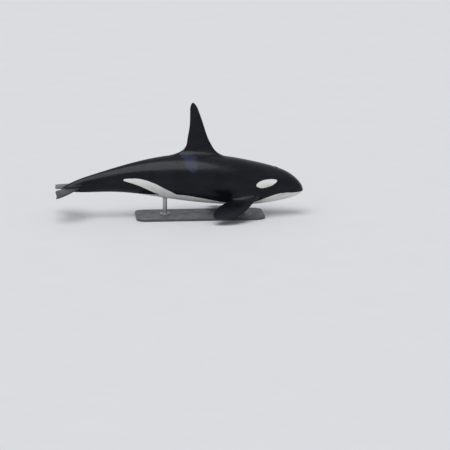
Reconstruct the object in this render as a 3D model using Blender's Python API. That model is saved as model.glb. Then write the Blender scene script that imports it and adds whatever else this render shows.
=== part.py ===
"""A life-size orca, a young male with a tall straight dorsal fin, held on a plain display stand.

Metres, +Z up, +X ahead of the animal, +Y its left. The origin is the middle of the stand's underside.
The body is drawn straight first, by how far each point lies behind the snout, to the left and above
the axis. It is then bent into the shallow roll that the animal makes as it dives after a breath.
"""

import math

import bmesh
import bpy
import numpy as np
from mathutils import Vector

# Driving sizes
LENGTH = 6.4  # snout to the rear edges of the flukes, along the bent axis
GAP = 0.0003  # between neighbouring solids
SEGMENTS = 40  # corners of a body section
BELLY_CORNER = 6  # corners below the widest line at which the white underside starts
SHARP = 40.0  # degrees between faces from which an edge is drawn sharp

# The body's sections: how far each lies behind the snout, the height of the back above the axis, the
# depth of the belly below it and the half width there, all as shares of the length. Then the
# fullness of the upper and of the lower half: 2 is an ellipse, and less has a keel.
SECTIONS = {
    "snout": (0.000, -0.010, -0.010, 0.000, 2.0, 2.0),
    "lips": (0.010, 0.0125, -0.0265, 0.0235, 2.2, 2.1),
    "rostrum": (0.030, 0.0330, -0.0390, 0.0375, 2.2, 2.1),
    "melon": (0.060, 0.0530, -0.0505, 0.0510, 2.2, 2.0),
    "eye": (0.100, 0.0692, -0.0620, 0.0645, 2.1, 2.0),
    "nape": (0.160, 0.0824, -0.0765, 0.0775, 2.0, 2.0),
    "flipper": (0.220, 0.0900, -0.0870, 0.0860, 2.0, 2.0),
    "chest": (0.300, 0.0961, -0.0950, 0.0915, 2.0, 2.0),
    "fin_front": (0.380, 0.0985, -0.0980, 0.0910, 1.95, 2.0),
    "girth": (0.450, 0.0970, -0.0955, 0.0860, 1.9, 2.0),
    "fin_rear": (0.520, 0.0910, -0.0890, 0.0765, 1.85, 2.0),
    "loin": (0.600, 0.0795, -0.0770, 0.0625, 1.8, 1.9),
    "vent": (0.680, 0.0650, -0.0620, 0.0470, 1.75, 1.8),
    "keel": (0.760, 0.0500, -0.0480, 0.0330, 1.7, 1.7),
    "stock": (0.840, 0.0370, -0.0365, 0.0225, 1.65, 1.65),
    "narrow": (0.900, 0.0275, -0.0270, 0.0175, 1.65, 1.65),
    "fluke_root": (0.950, 0.0150, -0.0148, 0.0150, 1.8, 1.8),
    "end": (0.985, 0.0035, -0.0035, 0.0080, 2.0, 2.0),
}

# Where the body's rings start and end and where it is parted, as shares of the length
SNOUT_START = 0.0004
ROSTRUM = 0.03
TAIL_END = 0.977
NECK = 0.145
FIN_START = 0.333
TAIL_START = 0.600

# The roll: the axis's pitch in degrees at shares of the length, nose down below zero
PITCH = {0.0: -5.0, 0.12: -5.0, 0.26: -7.4, 0.435: -3.9, 0.64: 1.95, 0.85: 9.0, 0.95: 9.0, 1.0: 7.0}
MIDDLE = 0.42  # share of the length that lies over the origin
SNOUT_END = 0.05  # share of the length up to which the widest line climbs to the axis

# Mouth
LIP_LINE = {0.0: -0.0125, 0.025: -0.0155, 0.055: -0.0175, 0.080: -0.0180, 0.095: -0.0215}
MOUTH_CORNER = 0.095
JAW_SPACE_DEPTH = 0.8  # of the cutter below the axis
JAW_SPACE_SIDE = 0.6  # of the cutter to each side
LIP_GROOVE = 0.008  # radius
LIP_THICK = 0.014  # radius of the rounded rim above and below the groove
LIP_RISE = 0.0175  # from the groove to the middle of a rim
LIP_SUNK = 0.0095  # a rim's middle below the skin

# Eyes
EYE_AT = 0.106
EYE_HEIGHT = -0.0045
EYE_RADIUS = 0.032
EYE_SUNK = 0.022  # the ball's centre below the skin
LID_WIDTH = 0.038
LID_HEIGHT = 0.017
LID_THICK = 0.0075

# Blowhole, a crescent a little to the left of the midline
BLOWHOLE_AT = 0.118
BLOWHOLE_LEFT = 0.012
BLOWHOLE_RADIUS = 0.050
BLOWHOLE_SPAN = 150.0
BLOWHOLE_WIDTH = 0.009

# Dorsal fin
FIN_HEIGHT = 1.32
FIN_TIP_AT = 0.4465
FIN_THICKNESS = 0.16  # of its chord
FIN_FLARE = 0.11  # radius of the root's sideways flare
FLARE_TURN = 45.0  # degrees that the flare turns before it runs straight into the back
FIN_ROUND = 1.15  # height at which the tip starts to round
FIN_ROOT = (-0.14, -0.08, -0.02, 0.01, 0.033, 0.06, 0.10, 0.14)  # heights of the root's sections
# Heights above the back, with the front and the rear edge ahead of the tip there
FIN_EDGES = {
    0.00: (0.610, -0.480),
    0.05: (0.570, -0.350),
    0.12: (0.532, -0.240),
    0.34: (0.415, -0.147),
    0.70: (0.288, -0.086),
    1.05: (0.172, -0.070),
    1.32: (0.076, -0.066),
}

# Flippers, drawn flat: shares of the span, with the front edge ahead of the root's middle and the chord
FLIPPER_SPAN = 1.22
FLIPPER_AT = 0.228
FLIPPER_HEIGHT = -0.046
FLIPPER_SWEEP = 33.0
FLIPPER_DROOP = 33.0
FLIPPER_TWIST = 12.0
FLIPPER_THICKNESS = 0.17
FLIPPER_EDGES = {
    0.00: (0.250, 0.480),
    0.20: (0.268, 0.520),
    0.45: (0.275, 0.630),
    0.70: (0.225, 0.625),
    1.00: (0.070, 0.480),
}
FLIPPER_ROUND = 0.62  # share of the span at which the tip starts to round
FLIPPER_ROOT = -0.16  # share of the span at which it ends inside the chest
FLIPPER_CURL = 0.05  # drop of the tip below its flat plane

# Flukes: shares of the half span, with the front and the rear edge behind the snout as shares of the length
FLUKE_SPAN = 0.95
FLUKE_THICKNESS = 0.12
FLUKE_EDGES = {
    0.00: (0.888, 0.9840),
    0.12: (0.8945, 0.9965),
    0.30: (0.9060, 1.0015),
    0.55: (0.9280, 1.0005),
    0.80: (0.9590, 0.9990),
    1.00: (0.9940, 1.0035),
}
FLUKE_ROUND = 0.93  # share of the half span at which the tip starts to round
FLUKE_DROOP = 0.05

EDGE = 0.004  # half the thickness of a fin's rear edge
LAST_SECTION = 0.9988  # share of a fin's span at which its last section lies

# Stand
BASE_LENGTH = 3.3
BASE_WIDTH = 1.3
BASE_THICK = 0.06
BASE_ROUND = 0.25
ROD_RADIUS = 0.055
ROD_AT = {"front": 0.262, "rear": 0.560}
COLLAR_RADIUS = 0.13
COLLAR_THICK = 0.03
CLEARANCE = 0.10  # of the lowest flipper tip above the base

COLOURS = {
    "skin_black": ((0.012, 0.013, 0.018, 1.0), 0.28, 0.0),
    "skin_white": ((0.78, 0.78, 0.74, 1.0), 0.32, 0.0),
    "eye": ((0.02, 0.012, 0.008, 1.0), 0.08, 0.0),
    "stand_plate": ((0.10, 0.10, 0.11, 1.0), 0.45, 0.0),
    "stand_steel": ((0.45, 0.45, 0.46, 1.0), 0.35, 1.0),
}


def smooth_through(points):
    """A natural cubic spline through {place: value}, as a function of an array of places."""
    x = np.array(list(points), float)
    y = np.array(list(points.values()), float)
    step = np.diff(x)
    system = np.eye(len(x))
    right = np.zeros(len(x))
    for i in range(1, len(x) - 1):
        system[i, i - 1 : i + 2] = step[i - 1], 2 * (step[i - 1] + step[i]), step[i]
        right[i] = 3 * ((y[i + 1] - y[i]) / step[i] - (y[i] - y[i - 1]) / step[i - 1])
    bend = np.linalg.solve(system, right)
    slope = np.diff(y) / step - step * (2 * bend[:-1] + bend[1:]) / 3
    cubic = np.diff(bend) / (3 * step)

    def value(places):
        places = np.asarray(places, float)
        i = np.clip(np.searchsorted(x, places) - 1, 0, len(x) - 2)
        u = places - x[i]
        return y[i] + u * (slope[i] + u * (bend[i] + u * cubic[i]))

    return value


# Each size runs smoothly in the square root of the share, which rounds the snout.
BACK, DEPTH, HALF_WIDTH, UPPER, LOWER = (
    smooth_through({math.sqrt(row[0]): row[column] for row in SECTIONS.values()})
    for column in range(1, 6)
)
LIPS = smooth_through(LIP_LINE)
PITCH_AT = smooth_through(PITCH)


def bent_axis():
    """The axis as fine steps: shares of the length, X, Z and pitch, before it is lifted onto the stand."""
    shares = np.linspace(-0.02, 1.06, 1081)
    pitch = np.radians(PITCH_AT(np.clip(shares, 0, 1)))
    middle = (pitch[1:] + pitch[:-1]) / 2
    step = np.diff(shares) * LENGTH
    x = np.concatenate([[0], np.cumsum(-np.cos(middle) * step)])
    z = np.concatenate([[0], np.cumsum(-np.sin(middle) * step)])
    return shares, x - np.interp(MIDDLE, shares, x), z, pitch


AXIS_SHARES, AXIS_X, AXIS_Z, AXIS_PITCH = bent_axis()


def lift():
    """How far the axis is lifted, so that flippers and flukes clear the base."""
    low = min(section[:, 2].min() for section in flipper_sections(1) + fluke_sections(1))
    return BASE_THICK + CLEARANCE - low


def axis_frame(share):
    """A point of the lifted axis with its forward and its upward direction."""
    x, z, pitch = (np.interp(share, AXIS_SHARES, v) for v in (AXIS_X, AXIS_Z, AXIS_PITCH))
    zero = np.zeros_like(x)
    point = np.stack([x, zero, z + RAISED], -1)
    ahead = np.stack([np.cos(pitch), zero, np.sin(pitch)], -1)
    up = np.stack([-np.sin(pitch), zero, np.cos(pitch)], -1)
    return point, ahead, up


def bent(behind, left, above):
    """Points of the straight body, bent with the axis."""
    point, _, up = axis_frame(np.asarray(behind) / LENGTH)
    above, left = np.asarray(above, float), np.asarray(left, float)
    return point + up * above[..., None] + np.array([0.0, 1.0, 0.0]) * left[..., None]


def sizes_at(share):
    """Back, depth, half width and height of the widest line in metres, and the two fullnesses."""
    root = np.sqrt(share)
    back, depth, half = (size(root) * LENGTH for size in (BACK, DEPTH, HALF_WIDTH))
    middle = (back + depth) / 2 * np.clip(1 - share / SNOUT_END, 0, 1) ** 2
    return back, depth, half, middle, UPPER(root), LOWER(root)


def ring(share, grow=0.0):
    """A body section's corners, from the left side over the back, or grown by a gap."""
    back, depth, half, middle, upper, lower = (float(v) for v in sizes_at(share))
    angle = np.arange(SEGMENTS) * math.tau / SEGMENTS
    across, over = np.cos(angle), np.sin(angle)
    fullness = np.where(over >= 0, upper, lower)
    height = np.where(over >= 0, back - middle + grow, middle - depth + grow)
    left = (half + grow) * np.sign(across) * np.abs(across) ** (2 / fullness)
    above = middle + height * over
    return bent(np.full(SEGMENTS, share * LENGTH), left, above)


def side_of(share, above):
    """How far the skin lies from the midline at a height above the axis."""
    back, depth, half, middle, upper, lower = sizes_at(share)
    high = above >= middle
    reach = (above - middle) / np.where(high, back - middle, depth - middle)
    fullness = np.where(high, upper, lower)
    return half * (1 - np.clip(reach, 0, 1) ** 2) ** (1 / fullness)


def mesh_object(name, vertices, faces, material, collection):
    """A new object with its faces turned outward."""
    mesh = bpy.data.meshes.new(name)
    mesh.from_pydata([tuple(v) for v in vertices], [], faces)
    shape = bmesh.new()
    shape.from_mesh(mesh)
    bmesh.ops.recalc_face_normals(shape, faces=shape.faces)
    shape.to_mesh(mesh)
    shape.free()
    made = bpy.data.objects.new(name, mesh)
    collection.objects.link(made)
    if material:
        mesh.materials.append(material)
    mesh.shade_smooth()
    mesh.set_sharp_from_angle(angle=math.radians(SHARP))
    return made


def loft(name, rings, material=None, collection=None):
    """A closed solid over rings of equal count, split alike into triangles, with a flat cap at each end."""
    count = len(rings[0])
    faces = []
    for i in range(len(rings) - 1):
        for j in range(count):
            near, far = i * count, (i + 1) * count
            beside = (j + 1) % count
            faces.append((near + j, near + beside, far + beside))
            faces.append((near + j, far + beside, far + j))
    last = (len(rings) - 1) * count
    faces += [tuple(range(count)), tuple(range(last, last + count))]
    return mesh_object(name, np.concatenate(rings), faces, material, collection or PARTS)


def boolean(target, other, operation):
    """Joins or cuts target by another object for good, and keeps only its largest closed surface."""
    modifier = target.modifiers.new("boolean", "BOOLEAN")
    modifier.operation = operation
    modifier.solver = "EXACT"
    modifier.object = other
    graph = bpy.context.evaluated_depsgraph_get()
    result = bpy.data.meshes.new_from_object(target.evaluated_get(graph))
    target.modifiers.clear()
    target.data = result
    keep_largest(result)
    result.set_sharp_from_angle(angle=math.radians(SHARP))


def keep_largest(mesh):
    """Deletes every closed surface but the one with the most faces."""
    shape = bmesh.new()
    shape.from_mesh(mesh)
    bmesh.ops.remove_doubles(shape, verts=shape.verts, dist=1e-6)
    left, groups = set(shape.verts), []
    while left:
        front = [left.pop()]
        group = set(front)
        while front:
            near = {e.other_vert(v) for v in front for e in v.link_edges} & left
            left -= near
            group |= near
            front = list(near)
        groups.append(group)
    groups.sort(key=len)
    bmesh.ops.delete(shape, geom=[v for group in groups[:-1] for v in group], context="VERTS")
    shape.to_mesh(mesh)
    shape.free()


def cut(target, cutter):
    """Takes the cutter's shape out of target."""
    boolean(target, cutter, "DIFFERENCE")


def helper(made):
    """Marks a cutter, which isn't part of the object."""
    made.hide_render = True
    made.display_type = "WIRE"
    return made


def tube(name, path, radius, closed=False):
    """A round tube along a path, as a closed mesh, for a groove or a lid."""
    curve = bpy.data.curves.new(name, "CURVE")
    curve.dimensions = "3D"
    curve.bevel_depth = radius
    curve.bevel_resolution = 2
    curve.use_fill_caps = True
    spline = curve.splines.new("POLY")
    spline.points.add(len(path) - 1)
    for corner, place in zip(spline.points, path):
        corner.co = (*place, 1)
    spline.use_cyclic_u = closed
    drawn = bpy.data.objects.new(name, curve)
    CUTTERS.objects.link(drawn)
    graph = bpy.context.evaluated_depsgraph_get()
    mesh = bpy.data.meshes.new_from_object(drawn.evaluated_get(graph))
    shape = bmesh.new()
    shape.from_mesh(mesh)
    bmesh.ops.remove_doubles(shape, verts=shape.verts, dist=1e-5)
    bmesh.ops.recalc_face_normals(shape, faces=shape.faces)
    shape.to_mesh(mesh)
    shape.free()
    made = bpy.data.objects.new(name, mesh)
    made.matrix_world = drawn.matrix_world
    CUTTERS.objects.link(made)
    bpy.data.objects.remove(drawn)
    return helper(made)


def ball(name, centre, radius, collection, material=None, segments=20):
    """A sphere."""
    mesh = bpy.data.meshes.new(name)
    shape = bmesh.new()
    bmesh.ops.create_uvsphere(shape, u_segments=segments, v_segments=segments // 2, radius=radius)
    bmesh.ops.translate(shape, verts=shape.verts, vec=Vector(centre))
    shape.to_mesh(mesh)
    shape.free()
    if material:
        mesh.materials.append(material)
    mesh.shade_smooth()
    made = bpy.data.objects.new(name, mesh)
    collection.objects.link(made)
    return made


# Stations of the body's rings, with the places where it is parted among them
def stations():
    """Shares of the length, close at the snout and wider behind it."""
    snout = np.linspace(math.sqrt(SNOUT_START), math.sqrt(ROSTRUM), 9) ** 2
    head = np.linspace(ROSTRUM, NECK, 12)[1:]
    shoulders = np.linspace(NECK, FIN_START, 11)[1:]
    trunk = np.linspace(FIN_START, TAIL_START, 14)[1:]
    tail = np.linspace(TAIL_START, TAIL_END, 23)[1:]
    return np.concatenate([snout, head, shoulders, trunk, tail])


def rings_between(start, end, grow=0.0):
    """Rings of one piece, or grown all over. Where it meets a neighbour it stops half a gap short."""
    shares = stations()
    inside = shares[(shares > start + 1e-6) & (shares < end - 1e-6)]
    half_gap = GAP / 2 / LENGTH
    first = start - grow / LENGTH if start <= shares[0] else start + half_gap
    last = end + grow / LENGTH if end >= shares[-1] else end - half_gap
    return [ring(share, grow) for share in np.concatenate([[first], inside, [last]])]


def upper_and_lower(rings):
    """Parts each ring at the corners where the white underside starts, with a gap between."""
    half = SEGMENTS // 2
    first, last = SEGMENTS - BELLY_CORNER, half + BELLY_CORNER
    upper, lower = [], []
    for corners in rings:
        upper.append(np.concatenate([corners[first:], corners[: last + 1]]))
        under = corners[last : first + 1].copy()
        for end, neighbour in ((0, 1), (-1, -2)):
            side = under[neighbour] - under[end]
            under[end] = under[end] + side * (GAP / abs(side[2]))
        lower.append(under)
    return upper, lower


def blade_section(lead, trail, thickness, edge, corners):
    """Corners of a fin's section round its chord, as (behind, out) pairs, from the rear edge forward."""
    chord = trail - lead
    angle = np.arange(corners) * math.tau / corners
    along = (1 - np.cos(angle)) / 2
    behind = trail - chord * along
    share = 1 - along
    foil = 5 * (
        0.2969 * np.sqrt(share) - 0.1260 * share - 0.3516 * share**2 + 0.2843 * share**3 - 0.1036 * share**4
    )
    rim = np.sqrt(np.clip(1 - (2 * share - 1) ** 10, 0, 1))
    out = np.sign(np.sin(angle)) * (thickness * chord * foil + edge * rim)
    out[np.abs(np.sin(angle)) < 1e-9] = 0.0
    return np.stack([behind, out], -1)


def rounded_tip(share, start):
    """How much of the chord is left as a tip rounds off: 1 up to start, then down to 0 at 1."""
    over = np.clip((share - start) / (1 - start), 0, 1)
    return np.sqrt(1 - over**2)


def spread(start, end, count, closer=1.6):
    """Places from start to end that lie closer together towards the end."""
    u = np.linspace(0, 1, count)
    return start + (end - start) * (1 - (1 - u) ** closer)


def root_flare(height):
    """How much wider each side of the dorsal fin is near the back: an arc, then a straight slope down."""
    turn = math.sin(math.radians(FLARE_TURN))
    knee = FIN_FLARE * (1 - turn)
    level = min(max(height, knee), FIN_FLARE)
    arc = FIN_FLARE * (1 - math.sqrt(1 - (1 - level / FIN_FLARE) ** 2))
    return arc + max(0.0, knee - height) * math.tan(math.radians(FLARE_TURN))


def dorsal_sections():
    """Sections of the dorsal fin from inside the back up to its tip."""
    front = smooth_through({h: row[0] for h, row in FIN_EDGES.items()})
    rear = smooth_through({h: row[1] for h, row in FIN_EDGES.items()})
    root, _, _ = axis_frame(FIN_TIP_AT)
    foot = root[2] + float(sizes_at(FIN_TIP_AT)[0])
    sections = []
    for height in np.concatenate([FIN_ROOT, spread(0.2, FIN_HEIGHT * LAST_SECTION, 16)]):
        level = max(height, 0.0)
        left = rounded_tip(level / FIN_HEIGHT, FIN_ROUND / FIN_HEIGHT)
        middle = (front(level) + rear(level)) / 2
        half = (front(level) - rear(level)) / 2 * max(left, 0.02)
        section = blade_section(-(middle + half), -(middle - half), FIN_THICKNESS / 2, EDGE * left, 28)
        along = (section[:, 0] + middle) / half
        flare = root_flare(height) * np.sqrt(np.clip(1 - along**2, 0, 1))
        out = section[:, 1] + np.sign(section[:, 1]) * flare
        x = root[0] - section[:, 0]
        sections.append(np.stack([x, out, np.full(len(x), foot + height)], -1))
    return sections


def flipper_sections(side):
    """Sections of a flipper, from inside the chest out to its tip. side is 1 for the left."""
    lead = smooth_through({v: row[0] for v, row in FLIPPER_EDGES.items()})
    chord = smooth_through({v: row[1] for v, row in FLIPPER_EDGES.items()})
    centre, ahead, up = axis_frame(FLIPPER_AT)
    height = FLIPPER_HEIGHT * LENGTH
    y = np.array([0.0, side, 0.0])
    root = centre + up * height + y * float(side_of(FLIPPER_AT, height))
    sweep, droop, twist = (math.radians(v) for v in (FLIPPER_SWEEP, FLIPPER_DROOP, FLIPPER_TWIST))
    outward = y * math.cos(droop) - up * math.sin(droop)
    span = outward * math.cos(sweep) - ahead * math.sin(sweep)
    flat = ahead * math.cos(sweep) + outward * math.sin(sweep)
    normal = np.cross(span, flat) * side
    across = flat * math.cos(twist) - normal * math.sin(twist)
    normal = np.cross(span, across) * side
    sections = []
    for v in np.concatenate([[FLIPPER_ROOT, 0.0], spread(0.07, LAST_SECTION, 16)]):
        level = max(v, 0.0)
        left = max(rounded_tip(level, FLIPPER_ROUND), 0.03)
        width = float(chord(level))
        middle = float(lead(level)) - width / 2
        half = width / 2 * left
        section = blade_section(-middle - half, -middle + half, FLIPPER_THICKNESS / 2, EDGE * left, 24)
        centre_line = root + span * (v * FLIPPER_SPAN) - normal * FLIPPER_CURL * level**2
        sections.append(centre_line - across * section[:, :1] + normal * section[:, 1:])
    return sections


def fluke_sections(side):
    """Sections of one fluke, from the midline out to its tip. side is 1 for the left."""
    front = smooth_through({v: row[0] for v, row in FLUKE_EDGES.items()})
    rear = smooth_through({v: row[1] for v, row in FLUKE_EDGES.items()})
    sections = []
    for v in np.concatenate([[GAP / 2 / FLUKE_SPAN], spread(0.06, LAST_SECTION, 17)]):
        left = max(rounded_tip(v, FLUKE_ROUND), 0.05)
        middle = float(front(v) + rear(v)) / 2 * LENGTH
        half = float(rear(v) - front(v)) / 2 * LENGTH * left
        section = blade_section(middle - half, middle + half, FLUKE_THICKNESS / 2, EDGE * left, 24)
        across = np.full(len(section), side * v * FLUKE_SPAN)
        sections.append(bent(section[:, 0], across, section[:, 1] - FLUKE_DROOP * v**2))
    return sections


def on_skin(share, above, side):
    """A point of the skin at a height above the axis, with the outward direction there."""
    step = 0.002
    place = bent(share * LENGTH, side * side_of(share, above), above)
    behind = bent((share + step) * LENGTH, side * side_of(share + step, above), above)
    higher = bent(share * LENGTH, side * side_of(share, above + step * LENGTH), above + step * LENGTH)
    out = np.cross(behind - place, higher - place)
    out /= np.linalg.norm(out)
    return place, out * (1 if out[1] * side > 0 else -1)


def mouth_path(rise=0.0, sunk=0.0):
    """A line along the lips, from the left corner round the snout to the right corner."""
    fine = np.linspace(SNOUT_START, MOUTH_CORNER, 4001)
    _, depth, *_ = sizes_at(fine)
    front = fine[np.argmax(LIPS(fine) * LENGTH + rise > depth)]
    shares = front + (MOUTH_CORNER - front) * np.linspace(1, 0, 17) ** 2
    heights = LIPS(shares) * LENGTH + rise
    sides = side_of(shares, heights)
    sides[-1] = 0.0
    inward = 1 - sunk / np.hypot(sides, (shares - MOUTH_CORNER) * LENGTH)
    behind = MOUTH_CORNER * LENGTH + (shares - MOUTH_CORNER) * LENGTH * inward
    left = bent(behind, sides * inward, heights)
    right = bent(behind, -sides * inward, heights)
    return np.concatenate([left, right[-2::-1]])


def mouth_cutter(name, grow):
    """Everything below the lip line and ahead of the mouth's corners."""
    shares = np.linspace(-0.02, MOUTH_CORNER, 14)
    heights = LIPS(np.clip(shares, 0, 1)) * LENGTH + grow
    shares = np.append(shares[:-1], shares[-1] + grow / LENGTH)
    below = np.full(len(shares), -JAW_SPACE_DEPTH)
    outline = [(s * LENGTH, h) for s, h in zip(shares, heights)]
    outline += [(s * LENGTH, h) for s, h in zip(shares[::-1], below)]
    behind, above = np.array(outline).T
    sides = [bent(behind, np.full(len(behind), y), above) for y in (-JAW_SPACE_SIDE, JAW_SPACE_SIDE)]
    return helper(loft(name, sides, collection=CUTTERS))


def lid_path(centre, out, radius):
    """A closed almond over the eye's ball, from corner to corner and back."""
    up = Vector((0, 0, 1))
    out = Vector(out)
    ahead = up.cross(out).normalized()
    up = out.cross(ahead).normalized()
    path = []
    for step in range(24):
        angle = step * math.tau / 24
        along = LID_WIDTH * math.cos(angle)
        over = LID_HEIGHT * math.sin(angle) * (0.72 + 0.28 * abs(math.sin(angle)))
        deep = math.sqrt(max(radius**2 - along**2 - over**2, (radius * 0.35) ** 2))
        path.append(tuple(Vector(centre) + ahead * along + up * over + out * deep))
    return path


def add_materials():
    """One material for each kind of surface."""
    made = {}
    for name, (colour, roughness, metallic) in COLOURS.items():
        material = bpy.data.materials.new(name)
        material.use_nodes = True
        shader = material.node_tree.nodes["Principled BSDF"]
        shader.inputs["Base Color"].default_value = colour
        shader.inputs["Roughness"].default_value = roughness
        shader.inputs["Metallic"].default_value = metallic
        material.diffuse_color = colour
        made[name] = material
    return made


def clear_scene():
    """Removes the startup objects."""
    for old in list(bpy.data.objects):
        bpy.data.objects.remove(old)


def new_collection(name):
    """A collection in the scene."""
    made = bpy.data.collections.new(name)
    bpy.context.scene.collection.children.link(made)
    return made


def add_body(skin):
    """The head with its jaw, the trunk in upper and lower parts, and the tail stock."""
    black, white = skin["skin_black"], skin["skin_white"]
    head = loft("head", rings_between(SNOUT_START, NECK), black)
    jaw = loft("lower_jaw", rings_between(SNOUT_START, NECK), white)
    boolean(head, tube("upper_lip", mouth_path(LIP_RISE, LIP_SUNK), LIP_THICK), "UNION")
    boolean(jaw, tube("lower_lip", mouth_path(-LIP_RISE, LIP_SUNK), LIP_THICK), "UNION")
    boolean(jaw, mouth_cutter("jaw_space", -GAP), "INTERSECT")
    cut(head, mouth_cutter("mouth_space", 0.0))
    groove = tube("lip_groove", mouth_path(), LIP_GROOVE)
    cut(head, groove)
    cut(jaw, groove)
    cut(head, blowhole_cutter())
    for side, name in ((1, "left"), (-1, "right")):
        add_eye(name, side, head, skin["eye"])
    parts = (("shoulders", "chest", NECK, FIN_START), ("back", "belly", FIN_START, TAIL_START))
    for above, below, start, end in parts:
        upper, lower = upper_and_lower(rings_between(start, end))
        loft(above, upper, black)
        loft(below, lower, white)
    loft("tail_stock", rings_between(TAIL_START, TAIL_END), black)


def blowhole_cutter():
    """A crescent groove on top of the head, open ahead."""
    path = []
    for step in range(13):
        angle = math.radians(BLOWHOLE_SPAN) * (step / 12 - 0.5)
        behind = BLOWHOLE_AT * LENGTH + BLOWHOLE_RADIUS * (math.cos(angle) - 0.6)
        left = BLOWHOLE_LEFT + BLOWHOLE_RADIUS * math.sin(angle)
        back, _, half, _, upper, _ = (float(v) for v in sizes_at(behind / LENGTH))
        above = back * math.sqrt(1 - abs(left / half) ** upper)
        path.append(bent(behind, left, above))
    return tube("blowhole_groove", path, BLOWHOLE_WIDTH)


def add_eye(name, side, head, material):
    """An eyeball in its socket, with lids raised round it."""
    skin, out = on_skin(EYE_AT, EYE_HEIGHT * LENGTH, side)
    centre = skin - out * EYE_SUNK
    lids = tube("lids_" + name, lid_path(centre, out, EYE_RADIUS + 0.002), LID_THICK, closed=True)
    boolean(head, lids, "UNION")
    cut(head, helper(ball("socket_" + name, centre, EYE_RADIUS + GAP, CUTTERS)))
    ball("eye_" + name, centre, EYE_RADIUS, PARTS, material)


def add_fins(skin):
    """The dorsal fin, flippers and flukes, each cut to sit on the skin with a gap."""
    black = skin["skin_black"]
    space = helper(loft("body_space", rings_between(SNOUT_START, TAIL_END, GAP), collection=CUTTERS))
    cut(loft("dorsal_fin", dorsal_sections(), black), space)
    for side, name in ((1, "left"), (-1, "right")):
        cut(loft("flipper_" + name, flipper_sections(side), black), space)
        cut(loft("fluke_" + name, fluke_sections(side), black), space)
    return space


def cylinder(name, radius, bottom, top, x, material, segments=28):
    """An upright cylinder on the midline."""
    mesh = bpy.data.meshes.new(name)
    shape = bmesh.new()
    bmesh.ops.create_cone(
        shape, cap_ends=True, segments=segments, radius1=radius, radius2=radius, depth=top - bottom
    )
    bmesh.ops.translate(shape, verts=shape.verts, vec=(x, 0, (top + bottom) / 2))
    shape.to_mesh(mesh)
    shape.free()
    mesh.materials.append(material)
    mesh.shade_smooth()
    mesh.set_sharp_from_angle(angle=math.radians(SHARP))
    made = bpy.data.objects.new(name, mesh)
    PARTS.objects.link(made)
    return made


def add_stand(skin, space):
    """A flat base with two short rods, cut to the belly, in collars."""
    corners = []
    for quarter in range(4):
        sign_x = (1, -1, -1, 1)[quarter]
        sign_y = (1, 1, -1, -1)[quarter]
        for step in range(7):
            angle = (quarter + step / 6) * math.pi / 2
            x = sign_x * (BASE_LENGTH / 2 - BASE_ROUND) + BASE_ROUND * math.cos(angle)
            y = sign_y * (BASE_WIDTH / 2 - BASE_ROUND) + BASE_ROUND * math.sin(angle)
            corners.append((x, y))
    outline = np.array(corners)
    levels = ((0.0, 1.0), (BASE_THICK - 0.008, 1.0), (BASE_THICK, 0.994))
    rings = [np.column_stack([outline * share, np.full(len(outline), z)]) for z, share in levels]
    loft("stand_base", rings, skin["stand_plate"])
    steel = skin["stand_steel"]
    foot = BASE_THICK + GAP
    for name, share in ROD_AT.items():
        point, _, _ = axis_frame(share)
        x = float(point[0])
        collar = cylinder("stand_collar_" + name, COLLAR_RADIUS, foot, foot + COLLAR_THICK, x, steel)
        cut(collar, helper(cylinder("bore_" + name, ROD_RADIUS + GAP, 0.0, float(point[2]), x, steel)))
        cut(cylinder("stand_rod_" + name, ROD_RADIUS, foot, float(point[2]), x, steel), space)


clear_scene()
PARTS = new_collection("orca")
CUTTERS = new_collection("cutters")
RAISED = 0.0
RAISED = lift()
finishes = add_materials()
add_body(finishes)
body_space = add_fins(finishes)
add_stand(finishes, body_space)
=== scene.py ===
"""The looks of a life-size orca, a young male with a tall fin, on its display stand.

The solids give the frame. One skin without a seam stands for all of the flesh: a fine grid over the bent body,
with the fins grown out of openings in it. Lips, lids and blowhole are raised in that skin. Its markings are
distances kept at its corners, which the finish turns into colours.
"""

import logging
import math
from abc import ABC, abstractmethod
from collections.abc import Callable, Iterable, Mapping
from dataclasses import dataclass, field
from enum import Enum

import bmesh
import bpy
import numpy as np
from mathutils import Matrix, Vector
from mathutils.bvhtree import BVHTree


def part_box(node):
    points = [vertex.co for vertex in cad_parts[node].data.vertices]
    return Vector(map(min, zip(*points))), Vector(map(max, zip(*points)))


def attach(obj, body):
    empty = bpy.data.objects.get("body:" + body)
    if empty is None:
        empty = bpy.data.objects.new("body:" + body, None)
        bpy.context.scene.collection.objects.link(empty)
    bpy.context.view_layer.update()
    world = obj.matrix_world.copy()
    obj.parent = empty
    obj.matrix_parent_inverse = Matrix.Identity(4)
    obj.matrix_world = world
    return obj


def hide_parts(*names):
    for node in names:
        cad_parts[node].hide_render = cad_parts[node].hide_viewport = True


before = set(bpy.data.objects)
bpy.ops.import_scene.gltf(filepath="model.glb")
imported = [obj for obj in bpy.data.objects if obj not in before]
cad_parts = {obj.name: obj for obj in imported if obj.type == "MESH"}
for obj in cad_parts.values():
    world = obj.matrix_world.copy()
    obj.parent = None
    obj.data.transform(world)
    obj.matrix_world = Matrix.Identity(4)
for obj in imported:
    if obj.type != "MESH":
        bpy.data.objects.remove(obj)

Array = np.ndarray
LEFTWARD = np.array([0.0, 1.0, 0.0])
LOG = logging.getLogger("orca")


class Side(Enum):
    """A flank of the animal, with the sign of Y there."""

    LEFT = 1
    RIGHT = -1


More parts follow.
